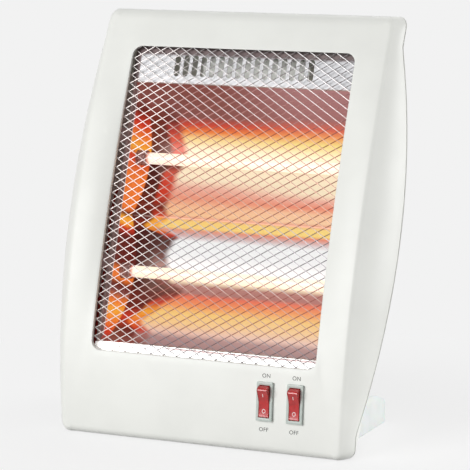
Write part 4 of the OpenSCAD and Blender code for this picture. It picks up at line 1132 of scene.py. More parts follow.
# A point every 2 mm, and every 0.8 mm round the ridge.
above = range(REFLECTOR_TOP, -7, -2)
ridge = [RIDGE_U + 0.8 * i for i in range(3, -4, -1)]
below = range(-14, REFLECTOR_FOOT - 1, -2)
front_line = [(ridge_round(u), u) for u in (*above, *ridge, *below)]
back_line = [(v + SHEET, u) for v, u in reversed(front_line)]
stations = [mix(-REFLECTOR_HALF, REFLECTOR_HALF, i / STATIONS) for i in range(STATIONS + 1)]
reflector_form = capped([[leaning(x, v, u) for v, u in front_line + back_line] for x in stations])
print(len(front_line), "points in the reflector's section")

# %% Colours of the glow
WHITE_HOT = (248, 249, 249)
CREAM = (251, 234, 200)
YELLOW = (252, 220, 146)
GOLD = (253, 212, 122)
AMBER = (246, 166, 56)
ORANGE = (238, 122, 50)
ROSE = (230, 152, 128)
RED_GLOW = (204, 56, 34)
MAUVE = (166, 112, 106)
DUSK = (128, 72, 66)
MAROON = (98, 34, 28)
DARK = (66, 24, 22)
# From the foot up: the sheet's edge, the lower trough with its bar's image, a gap, the lower bar,
# the ridge at -11, the upper trough, the upper bar, its image, and the sheet's upper edge.
LIT_TROUGHS = [
    (-120, (160, 126, 126)), (-112, (176, 140, 138)), (-107, (238, 196, 178)), (-99, (250, 206, 146)),
    (-89, (250, 204, 122)), (-82, (244, 150, 90)), (-74, (232, 108, 80)), (-71, MAUVE),
    (-65, MAUVE), (-61, CREAM), (-54, WHITE_HOT), (-28, WHITE_HOT), (-24, (212, 176, 174)),
    (-20, ROSE), (-18, GOLD), (-13, GOLD), (-11, ROSE), (-8, (250, 200, 152)),
    (0, (248, 190, 148)), (8, (236, 150, 122)), (18, (238, 176, 156)), (26, CREAM), (50, CREAM),
    (60, YELLOW), (66, ORANGE), (71, RED_GLOW), (77, DUSK), (100, DUSK)]
RIGHT_TROUGHS = [
    (-120, (160, 130, 130)), (-112, (182, 148, 146)), (-107, (240, 204, 188)), (-99, (250, 210, 160)),
    (-89, (250, 206, 132)), (-82, (246, 164, 104)), (-74, (236, 120, 92)), (-71, (176, 116, 110)),
    (-65, (170, 110, 104)), (-61, CREAM), (-54, WHITE_HOT), (-28, WHITE_HOT),
    (-24, (222, 192, 190)), (-20, (236, 140, 112)), (-18, (253, 218, 128)), (-13, (253, 220, 132)),
    (-11, ROSE), (-8, (251, 208, 166)), (0, (250, 200, 160)), (6, (238, 140, 112)),
    (13, (240, 178, 158)), (19, CREAM), (46, CREAM), (60, (253, 226, 136)), (67, (244, 150, 88)),
    (72, (214, 96, 74)), (79, (160, 104, 102)), (100, (172, 124, 124))]
EDGE_TROUGHS = [
    (-120, DUSK), (-112, MAUVE), (-107, RED_GLOW), (-99, ORANGE), (-90, AMBER), (-82, RED_GLOW),
    (-72, MAROON), (-65, MAROON), (-61, DUSK), (-28, DARK), (-24, RED_GLOW), (-18, AMBER),
    (-13, AMBER), (-10, RED_GLOW), (-2, MAROON), (10, RED_GLOW), (30, RED_GLOW), (36, MAROON),
    (44, RED_GLOW), (60, (216, 70, 40)), (67, (170, 44, 36)), (74, MAROON), (86, DUSK), (100, DUSK)]
DARK_TROUGHS = [
    (-120, DUSK), (-108, MAROON), (-96, RED_GLOW), (-86, MAROON), (-76, MAROON), (-66, DARK),
    (-22, DARK), (-16, (130, 44, 30)), (-11, DARK), (-2, MAROON), (16, DARK), (44, DARK),
    (58, MAROON), (74, MAROON), (86, DUSK), (100, DUSK)]
END_TROUGHS = [
    (-120, DUSK), (-112, RED_GLOW), (-102, ORANGE), (-92, AMBER), (-84, ORANGE), (-76, DUSK),
    (-70, MAROON), (-64, ORANGE), (-58, ORANGE), (-52, MAROON), (-28, MAROON), (-22, RED_GLOW),
    (-18, AMBER), (-14, AMBER), (-10, MAROON), (-5, ORANGE), (24, ORANGE), (40, RED_GLOW),
    (48, AMBER), (58, ORANGE), (68, RED_GLOW), (80, MAROON), (90, DUSK), (100, DUSK)]
print(len(LIT_TROUGHS), "bands where it is lit, and", len(DARK_TROUGHS), "where it is darkest")

# %% How the columns of the glow bend
# Where each column starts bends with the height: these stops are mm to the right.
BEND = [(-112, 6), (-100, -8), (-86, 2), (-70, 18), (-62, 4), (-40, 0), (-30, 6), (-26, 12),
        (-19, -6), (-12, 4), (0, -2), (28, -2), (36, 2), (48, 4), (66, 0), (80, -4)]
BEND_RANGE = 40


def bent_across(material):
    """The place along x, moved back by the bend at its height."""
    stops = [(height, (0.5 + shift / BEND_RANGE,) * 3 + (1,)) for height, shift in BEND]
    bend = ramped(material, height_share(material), stops)
    bend.color_ramp.interpolation = "EASE"
    shift = add(material, "MapRange", To_Min=BEND_RANGE / 2 * MM, To_Max=-BEND_RANGE / 2 * MM)
    wire_up(material, bend.outputs["Color"], shift, "Value")
    place = add(material, "Math", operation="ADD")
    wire_up(material, across(material), place, 0)
    wire_up(material, shift.outputs["Result"], place, 1)
    return place.outputs["Value"]


print(len(BEND), "stops bend the columns of the glow by at most", max(b[1] for b in BEND), "mm")

# %% Polished sheet with its glow
END_COLUMN = (-92, -90)
COLUMNS = ((-78, -72, EDGE_TROUGHS), (-66, -58, LIT_TROUGHS), (-30, 70, RIGHT_TROUGHS))
polished_sheet = finish("polished_sheet", seen(74, 62, 58), 0.26, Metallic=1.0,
                        Emission_Strength=0.9)
roughened(polished_sheet, grain(polished_sheet, 6, 3.0, (0.12, 1, 1)), 0.2, 0.36)
textured(polished_sheet, grain(polished_sheet, 1.6, 2.0, (0.05, 1, 1)), 0.012)
column_place = bent_across(polished_sheet)
glow = crossed(polished_sheet, sideways(polished_sheet, *END_COLUMN),
               bands(polished_sheet, END_TROUGHS), bands(polished_sheet, DARK_TROUGHS))
for start, end, stops in COLUMNS:
    column = spread(polished_sheet, column_place, start, end)
    glow = crossed(polished_sheet, column, glow, bands(polished_sheet, stops))
paint(polished_sheet, glow, "Emission Color")
reflector = piece("reflector_sheet", reflector_form, polished_sheet,
                  instead_of=["reflector"])
print(len(COLUMNS) + 2, "columns, from the dark left end to the bright right")

# %% [markdown]
# ## Plates round the reflector
# A slotted plate closes the box above the reflector, a strip closes it below, and an end plate
# stands at each side. They are zinc-plated sheet with straight folds, so the CAD pieces have the
# right form already and only need a finish. Close to the bars they are lit by the glow, which is
# painted by height in the same way as on the reflector, and which paints the strip bright. The
# slotted plate has painted shade at its left end and along its top, behind the casing's lip. An end
# plate shows painted shade on its hem in front, then a painted highlight on the fold line, and
# behind that the painted glow.

# %% Zinc-plated sheet
ZINC_GREY = (196, 196, 194)
ZINC_PATCH = 5
PATCH_DARKER = 12
PATCH_LIGHTER = 14
# The heat box's emission is painted light: near black below 96 mm, and a painted lit tone from 102 mm
# up.
BOX_LIT = (150, 143, 133)
BOX_GLOW = [(96, (24, 22, 20)), (102, BOX_LIT), (134, BOX_LIT)]


def dress(material, *names):
    """Gives CAD pieces a finish."""
    for name in names:
        mesh = nodes[name].data
        mesh.materials.clear()
        mesh.materials.append(material)


def rolled_sheet(name, **sockets):
    """Sheet metal with flow marks along x."""
    material = finish(name, seen(*ZINC_GREY), 0.4, Metallic=0.85, **sockets)
    roughened(material, grain(material, 4, 3.0, (0.15, 1, 1)), 0.3, 0.5)
    textured(material, grain(material, 0.8, 2.0, (0.08, 1, 1)), 0.008)
    return material


def zinc(name, colour=ZINC_GREY, **sockets):
    """The same with faint patches where the zinc froze."""
    material = rolled_sheet(name, **sockets)
    patches = add(material, "TexVoronoi", Scale=1 / (ZINC_PATCH * MM))
    where = add(material, "TexCoord")
    wire_up(material, where.outputs["Object"], patches, "Vector")
    blended(material, patches.outputs["Distance"], seen(*(v - PATCH_DARKER for v in colour)),
            seen(*(v + PATCH_LIGHTER for v in colour)))
    return material


plain_zinc = zinc("plain_zinc")
box_sheet = zinc("box_sheet", Emission_Strength=0.8)
paint(box_sheet, bands(box_sheet, BOX_GLOW), "Emission Color")
dress(box_sheet, "heat_box")
dress(plain_zinc, "guard_rim", "tube_clip_upper_left", "tube_clip_upper_right",
      "tube_clip_lower_left", "tube_clip_lower_right")
print("flow marks and", ZINC_PATCH, "mm patches")

# %% Slotted plate above the reflector
# Painted shade at the left end and along the top behind the casing's lip, and a painted glow by height.
VENT_END = (-95.5, -94)
VENT_DIMS = (30, 90)
VENT_SHADE = (84, 72, 72)
VENT_DARK = (60, 50, 50)
VENT_DIM = (90, 88, 86)
VENT_BASE_AND_PAINTED_SHADE = [(123, (140, 140, 142)), (125.5, (74, 64, 64))]
VENT_GLOW = [(100, (222, 216, 214)), (106, (180, 178, 177)), (112, (146, 144, 142)),
             (122, (130, 128, 126)), (125, VENT_DARK), (134, (50, 42, 42))]
vent_sheet = rolled_sheet("vent_sheet", Emission_Strength=0.3)
vent_end = sideways(vent_sheet, *VENT_END)
vent_shade = plain(vent_sheet, VENT_SHADE)
paint(vent_sheet, crossed(vent_sheet, vent_end, vent_shade, bands(vent_sheet, VENT_BASE_AND_PAINTED_SHADE)))
vent_dark = plain(vent_sheet, VENT_DARK)
vent_glow = crossed(vent_sheet, vent_end, vent_dark, bands(vent_sheet, VENT_GLOW))
vent_dim = sideways(vent_sheet, *VENT_DIMS)
vent_glow = crossed(vent_sheet, vent_dim, vent_glow, plain(vent_sheet, VENT_DIM))
paint(vent_sheet, vent_glow, "Emission Color")
dress(vent_sheet, "vent_plate")
print("the slotted plate dims from x =", VENT_DIMS[0], "to", VENT_DIMS[1], "mm")

# %% Strip below the reflector
# Painted light: a painted glow, brightest at the edge and on the left, and painted shade at the root.
LIP_DIMS = (-66, -20)
LIP_BRIGHT = (236, 232, 228)
LIP_STEEL = (200, 200, 198)
LIP_EDGE = -124.5
LIP_ROOT = -122.5
LIP_GLOW = [(-133, (228, 226, 222)), (-126, LIP_BRIGHT), (-116, (226, 220, 216))]
lip_sheet = rolled_sheet("lip_sheet", Emission_Strength=0.6)
lip_dim = sideways(lip_sheet, *LIP_DIMS)
lip_glow = bands(lip_sheet, [(LIP_EDGE, LIP_BRIGHT), (LIP_ROOT, (150, 118, 118))])
lip_base_and_painted_shade = bands(lip_sheet, [(LIP_EDGE, LIP_STEEL), (LIP_ROOT, (110, 92, 92))])
paint(lip_sheet, crossed(lip_sheet, lip_dim, bands(lip_sheet, LIP_GLOW), lip_glow), "Emission Color")
paint(lip_sheet, crossed(lip_sheet, lip_dim, plain(lip_sheet, LIP_STEEL), lip_base_and_painted_shade))
dress(lip_sheet, "bottom_lip_plate")
print("the strip is bright up to", LIP_EDGE, "mm")

# %% End plates
PLATE_FACE = REFLECTOR_HALF + 0.3
HEM_DEPTH = 12.4
FOLD_DEPTH = 1.2
SHARP_STEP = 0.3
HEM_PAINTED_SHADE = (96, 76, 74)
FOLD_PAINTED_HIGHLIGHT = (176, 166, 166)
# A dark base as painted shade; the emission paints shade on the hem, a highlight on the fold, then
# glow.
end_sheet = zinc("end_sheet", (84, 70, 66), Emission_Strength=0.9)
hem_painted_shade = plain(end_sheet, HEM_PAINTED_SHADE)
hem_end = deeper(end_sheet, HEM_DEPTH, HEM_DEPTH + SHARP_STEP)
end_glow = crossed(end_sheet, hem_end, hem_painted_shade, plain(end_sheet, FOLD_PAINTED_HIGHLIGHT))
fold_end = deeper(end_sheet, HEM_DEPTH + FOLD_DEPTH, HEM_DEPTH + FOLD_DEPTH + SHARP_STEP)
end_glow = crossed(end_sheet, fold_end, end_glow, bands(end_sheet, END_TROUGHS))
outer_face = outward(end_sheet, PLATE_FACE, PLATE_FACE + SHARP_STEP)
paint(end_sheet, crossed(end_sheet, outer_face, end_glow, hem_painted_shade), "Emission Color")
dress(end_sheet, "end_plate_left", "end_plate_right")
print("the hem is", HEM_DEPTH, "mm deep")

# %% [markdown]
# ## Quartz bars
# Each bar is a milky quartz tube with a coil of resistance wire inside and a ceramic cap at each
# end. The tube is turned from its wall section with rounded lips, and lets some light through. Its
# left end is only red, where the coil has stopped. The coil is one unbroken wire, swept along a
# helix, with straight leads that pass through the caps. The caps are turned with broken edges and a
# fine speckle of unglazed ceramic.

# %% Quartz, heating wire and ceramic
RED_END = (-87.6, -84.6)
RED_GLASS = (170, 36, 22)
CLOUD = 1000 / 60
quartz = finish("quartz_milky", seen(214, 196, 172), 0.3, Alpha=0.86, Emission_Strength=0.72,
                Coat_Weight=0.3, Coat_Roughness=0.12)
milky = blended(quartz, grain(quartz, CLOUD, 1.0, (1, 0.2, 0.2)), seen(255, 243, 220),
                seen(255, 249, 236), "Emission Color")
red_glass = plain(quartz, RED_GLASS)
paint(quartz, crossed(quartz, sideways(quartz, *RED_END), red_glass, milky), "Emission Color")
textured(quartz, grain(quartz, 0.7, 2.0), 0.015)
heating_wire = finish("heating_wire_hot", seen(200, 120, 70), 0.5, Metallic=0.6, Emission_Strength=1.3)
blended(heating_wire, grain(heating_wire, 8, 1.0), seen(255, 188, 120), seen(255, 214, 160),
        "Emission Color")
# Painted light: the emission is a painted glow from the hot bars, and the dark tone is painted shade.
ceramic = finish("ceramic_unglazed", seen(150, 132, 130), 0.6, Emission_Strength=0.3,
                 Emission_Color=seen(120, 66, 58), Specular_IOR_Level=0.4)
blended(ceramic, grain(ceramic, 1.6, 3.0), seen(104, 84, 84), seen(188, 172, 170))
textured(ceramic, grain(ceramic, 0.35, 3.0), 0.03)
print("quartz, heating wire and ceramic")

# %% Sections of the bars
TUBE_V = 32.0
TUBE_HALF = 96.9
TUBE_R = 5.0
TUBE_WALL = 1.0
TUBE_STEPS = 16
COIL_HALF = 86.0
COIL_R = 2.45
COIL_WIRE = 0.35
COIL_PITCH = 2.2
COIL_STEPS = 12
LEAD_END = 111.0
LEAD_START = COIL_HALF + 5
CAP_R = 6.5


def tube_section(half, outside, wall, lip=0.45):
    """A tube's wall with rounded lips, from the left end to the right and back inside."""
    inside = outside - wall
    middle = outside - wall / 2
    stations = [mix(-half + lip, half - lip, i / TUBE_STEPS) for i in range(TUBE_STEPS + 1)]
    outer = [(x, outside) for x in stations]
    inner = [(x, inside) for x in reversed(stations)]
    return [(-half, middle)] + outer + [(half, middle)] + inner


def coil_route(place):
    """A helix between two straight leads along the tube's middle."""
    middle = Vector(place)
    steps = int(2 * COIL_HALF / COIL_PITCH * COIL_STEPS)
    route = [middle - Vector((LEAD_END, 0, 0)), middle - Vector((LEAD_START, 0, 0))]
    for i in range(steps + 1):
        a = 2 * math.pi * i / COIL_STEPS
        x = mix(-COIL_HALF, COIL_HALF, i / steps)
        route.append(middle + Vector((x, COIL_R * math.cos(a), COIL_R * math.sin(a))))
    return route + [middle + Vector((LEAD_START, 0, 0)), middle + Vector((LEAD_END, 0, 0))]


def cap_section(side):
    """Section of a ceramic cap: bore for the tube, thin bore for the lead, broken edges."""
    section = [(88.0, 5.15), (88.0, 6.0), (88.2, 6.3), (88.5, CAP_R), (104.4, CAP_R), (104.8, 6.3),
               (105.0, 5.9), (105.0, 1.0), (97.4, 1.0), (97.4, 5.15)]
    return [(side * x, radius) for x, radius in section]


print("coil turns:", round(2 * COIL_HALF / COIL_PITCH))

# %% Bars
for level, u in (("upper", UPPER_U), ("lower", LOWER_U)):
    middle = leaning(0, TUBE_V, u)
    tube = turned(tube_section(TUBE_HALF, TUBE_R, TUBE_WALL), middle, ALONG_X, 64, bored=True)
    piece(level + "_quartz", tube, quartz, instead_of=[level + "_quartz_tube"], sharp_from=60)
    coil = swept(coil_route(middle), COIL_WIRE, 6, ALONG_X)
    piece(level + "_coil", coil, heating_wire, instead_of=[level + "_heating_coil"])
    for side_name, side in (("left", -1), ("right", 1)):
        cap = turned(cap_section(side), middle, ALONG_X, 56, bored=True)
        piece(f"{level}_{side_name}_cap", cap, ceramic,
              instead_of=[f"end_cap_{level}_{side_name}"])
print("bars at heights", UPPER_U, "and", LOWER_U, "mm along the lean")

# %% [markdown]
# ## Rocker switches
# Each switch is a grey moulded body with a thin bezel, and a glossy red rocker that tips on two
# short pins. A body is a stack of rounded rectangles, from the back of the housing up over the
# bezel and down into the well. A rocker is its side outline, with two hollow faces that meet in a
# valley, stacked sideways with narrower ends so that its edges are round. It stands tipped to OFF.

# %% Switch plastics
switch_grey = finish("switch_grey", seen(188, 198, 191), 0.34, Specular_IOR_Level=0.5)
blended(switch_grey, grain(switch_grey, 5, 2.0), seen(184, 194, 187), seen(193, 202, 196))
textured(switch_grey, grain(switch_grey, 0.3, 2.0), 0.006)
rocker_red = finish("rocker_red", seen(186, 16, 20), 0.22, Coat_Weight=0.5, Coat_Roughness=0.08,
                    Subsurface_Weight=0.08, Subsurface_Scale=0.0015)
blended(rocker_red, grain(rocker_red, 3, 2.0), seen(178, 12, 16), seen(196, 24, 26))
roughened(rocker_red, grain(rocker_red, 1.5, 2.0), 0.16, 0.28)
mark_white = finish("mark_white", seen(240, 226, 224), 0.45)
blended(mark_white, grain(mark_white, 0.4, 2.0), seen(232, 214, 212), seen(246, 234, 232))
print("switch plastics")

# %% Pressed outlines with round ends
END_STEPS = 4


def shrunk(shape, amount):
    """A closed outline moved inward, square to itself."""
    moved = []
    for i, (a, b) in enumerate(shape):
        before = Vector(shape[i - 1])
        after = Vector(shape[(i + 1) % len(shape)])
        way = (after - before).normalized()
        moved.append((a + way.y * -amount, b + way.x * amount))
    return moved


def round_ends(width, edge):
    """Stations across a pressed piece, and how far its outline is shrunk at each."""
    turns = [i / END_STEPS * math.pi / 2 for i in range(END_STEPS + 1)]
    ends = [(edge * (1 - math.cos(a)), edge * (1 - math.sin(a))) for a in turns]
    return ends + [(width - place, amount) for place, amount in reversed(ends)]


print(len(round_ends(1, 0.1)), "stations across a pressed piece")

# %% Switch bodies
# Width, height, corner and depth of each rounded rectangle; a depth below 0 stands out of the face.
SWITCH_BODY = [
    (11.0, 26.7, 0.6, 16.74), (12.2, 27.9, 0.8, 16.2), (12.2, 27.9, 0.8, -0.25),
    (13.9, 31.7, 0.7, -0.25), (14.0, 31.8, 0.8, -0.45), (14.0, 31.8, 0.8, -1.6),
    (13.9, 31.7, 0.75, -1.86), (13.7, 31.5, 0.7, -2.0), (13.4, 31.2, 0.6, -2.05),
    (9.9, 27.1, 0.7, -2.05), (9.5, 26.7, 0.6, -1.98), (9.2, 26.4, 0.5, -1.7),
    (9.2, 26.4, 0.5, 5.0), (9.2, 22.0, 0.5, 7.4)]


def switch_body(x):
    return capped([[on_face(x, SWITCH_Z, (px, deep, pz)) for px, pz in rounded_box(width, height, r, 5)]
                   for width, height, r, deep in SWITCH_BODY])


for side, x in SWITCHES.items():
    piece(side + "_bezel", switch_body(x), switch_grey,
          instead_of=[side + "_switch_body"])
print("bezels", max(row[0] for row in SWITCH_BODY), "x", max(row[1] for row in SWITCH_BODY), "mm")

# %% Rockers
ROCKER_W = 8.6
ROCKER_EDGE = 0.45
ROCKER_R = 12.9
ROCKER_TIP = 5.6
ROCKER_TILT = 14 * DEGREES
ROCKER_UNDER = 4.0
PIVOT_DEEP = 0.15
PIN_REACH = 5.3
PIN_D = 2.4
HOLLOW = 0.3
VALLEY = 1.2
VALLEY_DIP = 0.16
TIP_ROUND = 0.5
TIP_BREAK = 2.5 * DEGREES
FACE_POINTS = 28
ARC_POINTS = 10
TIP_E = math.sqrt(ROCKER_R ** 2 - ROCKER_TIP ** 2)
VALLEY_V = ROCKER_TIP - TIP_E * math.tan(ROCKER_TILT)


def hollow_face(share):
    """Depth of one hollow face, from the valley (share 0) to the tip."""
    return -mix(VALLEY_V, ROCKER_TIP, share) + HOLLOW * 4 * share * (1 - share)


def facet(up):
    """Depth of the rocker's face at a height above (or below) its valley, before it is tipped."""
    if abs(up) < VALLEY:
        return hollow_face(VALLEY / TIP_E) + VALLEY_DIP * (1 - (up / VALLEY) ** 2)
    return hollow_face(abs(up) / TIP_E)


def rocker_outline():
    """Side outline of a rocker: depth and height, round from the lower tip."""
    reach = TIP_E - TIP_ROUND
    heights = [mix(-reach, reach, i / FACE_POINTS) for i in range(FACE_POINTS + 1)]
    face = [(facet(up), up) for up in heights]
    start = math.atan2(TIP_E, -ROCKER_TIP) - TIP_BREAK
    end = math.atan2(math.sqrt(ROCKER_R ** 2 - ROCKER_UNDER ** 2), ROCKER_UNDER)
    angles = [mix(start, end, i / ARC_POINTS) for i in range(ARC_POINTS + 1)]
    arc = [(ROCKER_R * math.cos(a), ROCKER_R * math.sin(a)) for a in angles]
    return face + arc + [(v, -up) for v, up in reversed(arc)]


def tipped(x, place):
    """From the rocker's own frame (x, depth, height) to the heater, standing at OFF."""
    px, deep, up = place
    c, s = math.cos(ROCKER_TILT), math.sin(ROCKER_TILT)
    return on_face(x, SWITCH_Z, (px, PIVOT_DEEP + deep * c - up * s, deep * s + up * c))


def rocker(x):
    shape = rocker_outline()
    loops = [[tipped(x, (place - ROCKER_W / 2, deep, up)) for deep, up in shrunk(shape, amount)]
             for place, amount in round_ends(ROCKER_W, ROCKER_EDGE)]
    axis = Vector(tipped(x, (1, 0, 0))) - Vector(tipped(x, (0, 0, 0)))
    pins = rod(tipped(x, (0, 0, 0)), axis, -PIN_REACH, PIN_REACH, PIN_D, 32)
    return together(capped(loops), pins)


for side, x in SWITCHES.items():
    piece(side + "_red_rocker", rocker(x), rocker_red, body=side + "_rocker",
          instead_of=[side + "_rocker"], sharp_from=40)
print("valley depth", round(VALLEY_V, 2), "mm")

# %% I and O on the rockers
PRINT_LIFT = 0.05
PRINT_SINK = 0.2
O_NARROWING = 0.86


def stroke(x, up, width, height):
    """The I mark: a thin slab printed on the rocker's face."""
    top = up + height / 2
    low = up - height / 2
    corners = [(-width / 2, low), (width / 2, low), (width / 2, top), (-width / 2, top)]
    return capped([[tipped(x, (px, facet(pz) + deep, pz)) for px, pz in corners]
                   for deep in (PRINT_SINK, -PRINT_LIFT)])


def ring_mark(x, up, radius, line, steps=32):
    """The O mark: a thin ring that follows the hollow face."""
    angles = [2 * math.pi * i / steps for i in range(steps)]
    loops = []
    for reach, deep in ((radius - line, PRINT_SINK), (radius - line, -PRINT_LIFT),
                        (radius, -PRINT_LIFT), (radius, PRINT_SINK)):
        circle = [(reach * O_NARROWING * math.cos(a), up + reach * math.sin(a)) for a in angles]
        loops.append([tipped(x, (px, facet(pz) + deep, pz)) for px, pz in circle])
    return skin(loops, closed=True)


for side, x in SWITCHES.items():
    marks = together(stroke(x, up=6.6, width=0.6, height=3.0),
                     ring_mark(x, up=-6.9, radius=1.75, line=0.55))
    piece(side + "_marks", marks, mark_white, body=side + "_rocker")
print("marks stand", PRINT_LIFT, "mm proud")

# %% [markdown]
# ## Words on the face
# ON and OFF are printed above and below each switch. Printing could be a picture on the casing, but
# it would blur from close by. So letters come from Blender's own font, as flat meshes laid onto the
# curved face 0.06 mm proud, and they never sink into it.

# %% ON and OFF
LETTER_H = 3.3
# A font's size is about 1.4 times the height of its capitals.
LETTER_SIZE = LETTER_H * 1.4
LETTER_SPACING = 1.04
LETTER_PROUD = 0.06
ON_PLACE = (0.2, 63.3)
OFF_PLACE = (-0.6, 19.9)
ink_grey = finish("ink_grey", seen(48, 48, 47), 0.6)
blended(ink_grey, grain(ink_grey, 0.3, 2.0), seen(42, 42, 41), seen(58, 58, 56))


def word(name, text, x, z):
    curve = bpy.data.curves.new(name, "FONT")
    curve.body = text
    curve.align_x = "CENTER"
    curve.align_y = "CENTER"
    curve.size = LETTER_SIZE
    curve.space_character = LETTER_SPACING
    curve.extrude = LETTER_PROUD
    flat = link(bpy.data.objects.new(name + "_flat", curve))
    mesh = finished_mesh(flat)
    bpy.data.objects.remove(flat)
    for vertex in mesh.vertices:
        px, up, proud = vertex.co
        vertex.co = Vector(on_face(x, z, (px, -proud, up))) * MM
    mesh.materials.append(ink_grey)
    obj = link(bpy.data.objects.new(name, mesh))
    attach(obj, "root")


for side, x in SWITCHES.items():
    word(side + "_on", "ON", x + ON_PLACE[0], ON_PLACE[1])
    word(side + "_off", "OFF", x + OFF_PLACE[0], OFF_PLACE[1])
print("words", LETTER_H, "mm tall")

# %% [markdown]
# ## Feet and gland
# Two slim feet run back from the casing along the table and keep it from tipping. Their side
# outline is pressed through sideways with round edges, and what would lie inside the casing is cut
# away with the rear shell's own block. The gland that holds the cord is turned from black rubber.

# %% Side outline of a foot
FOOT_OUT = 109.8
FOOT_W = 16.0
FOOT_L = 57.7
FOOT_EDGE = 1.4
FOOT_INSIDE = 20
FOOT_FRONT_H = 24.2
TAIL_H = 20
TAIL_ROUND = 6
TOP_STEPS = 6
TAIL_STEPS = 8
BASE_STEPS = 8


def smooth_line(knots, steps):
    """A smooth line through the knots, without the last one."""
    line = []
    last = len(knots) - 1
    for i in range(last):
        a, b, c, d = (Vector(knots[min(max(i + k, 0), last)]) for k in (-1, 0, 1, 2))
        for t in (j / steps for j in range(steps)):
            line.append(tuple(0.5 * ((2 * b) + (c - a) * t + (2 * a - 5 * b + 4 * c - d) * t ** 2
                                     + (3 * b - a - 3 * c + d) * t ** 3)))
    return line


def foot_outline():
    """Side outline: y and z, from the nose along the table to the tail and back over the top."""
    panel = FRONT_Y + BASE_DEPTH
    nose = panel - FOOT_INSIDE
    tail = panel + FOOT_L
    knots = [(tail - TAIL_ROUND, TAIL_H), (panel + 0.65 * FOOT_L, 25.2),
             (panel + 0.4 * FOOT_L, 28.2), (panel, 27.2), (nose, FOOT_FRONT_H)]
    turns = [i / TAIL_STEPS * math.pi / 2 for i in range(TAIL_STEPS)]
    bend = [(tail - TAIL_ROUND * (1 - math.cos(a)), TAIL_H - TAIL_ROUND * (1 - math.sin(a)))
            for a in turns]
    base = [(mix(nose, tail, i / BASE_STEPS), 0) for i in range(BASE_STEPS + 1)]
    return base + bend + smooth_line(knots, TOP_STEPS) + [(nose, FOOT_FRONT_H)]


print(len(foot_outline()), "points round a foot")

# %% Feet
foot_white = finish("foot_white", seen(236, 240, 238), 0.3, Specular_IOR_Level=0.5,
                    Subsurface_Weight=0.3, Subsurface_Scale=0.004)
blended(foot_white, grain(foot_white, 14, 2.0), seen(233, 237, 235), seen(240, 243, 242))
textured(foot_white, grain(foot_white, 0.5, 2.0), 0.008)


def foot(side):
    shape = foot_outline()
    loops = []
    for place, amount in round_ends(FOOT_W, FOOT_EDGE):
        x = side * (FOOT_OUT - FOOT_W + place)
        loops.append([(x, y, max(z, 0)) for y, z in shrunk(shape, -amount)])
    return capped(loops)


for side_name, side in (("left", -1), ("right", 1)):
    foot_piece = piece(side_name + "_foot", foot(side), foot_white,
                       instead_of=[side_name + "_rear_foot"])
    cut(foot_piece, rear_block(-0.3))
    print(side_name, "foot reaches back to", round(foot_piece.bound_box[6][1] / MM, 1), "mm")

# %% Gland
black_rubber = finish("black_rubber", seen(38, 38, 38), 0.62, Specular_IOR_Level=0.35)
blended(black_rubber, grain(black_rubber, 2, 3.0), seen(32, 32, 32), seen(46, 46, 45))
textured(black_rubber, grain(black_rubber, 0.25, 2.0), 0.02)
GLAND_SECTION = [(-6.5, 4.2), (-6.5, 7.6), (-6.0, 8.6), (-3.8, 8.7), (-3.6, 7.35), (0.3, 7.35),
                 (0.3, 9.7), (0.6, 10.0), (1.9, 10.0), (2.4, 9.7), (2.6, 9.2), (2.6, 5.2), (2.3, 4.5),
                 (1.8, 4.2)]
gland_place = Vector(on_back(GLAND[0], GLAND[1], (0, 0, 0)))
gland_axis = Vector(on_back(GLAND[0], GLAND[1], (0, 1, 0))) - gland_place
gland = turned(GLAND_SECTION, gland_place, gland_axis, 56, bored=True)
piece("gland_rubber", gland, black_rubber, instead_of=["cord_gland"], sharp_from=50)
print("gland bore", 2 * min(radius for along, radius in GLAND_SECTION), "mm")

# %% [markdown]
# ## Inner pieces and fasteners
# The rest is seen only through the slots, from below, or when the heater is opened: the screws,
# blades, terminals, cut-out, terminal block, tip-over switch and the eight wires. Their CAD forms
# are right, so each gets the finish of its stuff, with grain at its real size.

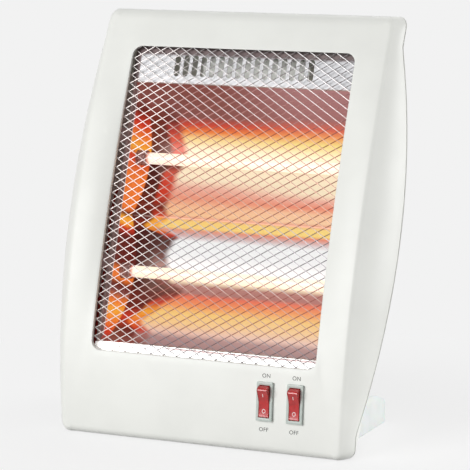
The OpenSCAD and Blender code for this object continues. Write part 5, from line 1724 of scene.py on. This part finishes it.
# %% Finishes of the inner pieces
screw_steel = finish("screw_steel", seen(190, 190, 190), 0.32, Metallic=1.0)
blended(screw_steel, grain(screw_steel, 1.2, 3.0), seen(172, 172, 172), seen(204, 204, 203))
roughened(screw_steel, grain(screw_steel, 0.6, 2.0), 0.25, 0.45)
spring_steel = finish("spring_steel", seen(150, 150, 154), 0.3, Metallic=1.0)
blended(spring_steel, grain(spring_steel, 0.8, 2.0), seen(138, 138, 142), seen(164, 164, 168))
brass = finish("brass_tinned", seen(206, 186, 128), 0.35, Metallic=1.0)
blended(brass, grain(brass, 1.5, 3.0), seen(192, 170, 112), seen(216, 198, 142))
black_moulding = finish("black_moulding", seen(46, 46, 48), 0.45)
blended(black_moulding, grain(black_moulding, 2.5, 2.0), seen(40, 40, 42), seen(54, 54, 56))
textured(black_moulding, grain(black_moulding, 0.3, 2.0), 0.01)
block_white = finish("block_white", seen(228, 228, 216), 0.5)
blended(block_white, grain(block_white, 4, 2.0), seen(222, 222, 209), seen(233, 233, 222))
textured(block_white, grain(block_white, 0.3, 2.0), 0.008)


def insulation(name, dark, light):
    """Coloured wire insulation, slightly waxy, with a fine texture."""
    material = finish(name, seen(*light), 0.4, Specular_IOR_Level=0.45)
    blended(material, grain(material, 3, 2.0), seen(*dark), seen(*light))
    textured(material, grain(material, 0.4, 2.0), 0.012)
    return material


red_insulation = insulation("red_insulation", (164, 40, 32), (186, 54, 44))
blue_insulation = insulation("blue_insulation", (52, 84, 160), (66, 100, 178))
brown_insulation = insulation("brown_insulation", (104, 66, 40), (122, 80, 50))
dress(screw_steel, "tube_clip_screws", "thermal_cutout_screws", "terminal_block_screws",
      "tip_over_screws", "foot_screws", "case_screws", "guard_screws", "reflector_screws",
      "plate_screws")
dress(spring_steel, "tip_over_spring")
dress(brass, "upper_tube_terminals", "lower_tube_terminals", "left_switch_blades",
      "right_switch_blades")
dress(black_moulding, "thermal_cutout", "tip_over_switch")
dress(block_white, "terminal_block", "tip_over_plunger")
dress(red_insulation, "wire_upper_feed", "wire_lower_feed")
dress(blue_insulation, "wire_tube_link", "wire_neutral")
dress(brown_insulation, "wire_switched_live", "wire_switch_link", "wire_live", "wire_tip_live")
replaced = {name for obj in bpy.data.objects for name in obj.get("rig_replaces", [])}
bare = [name for name in nodes if name not in replaced and len(nodes[name].data.materials) != 1]
print("nodes replaced:", len(replaced), "left without one finish:", bare)
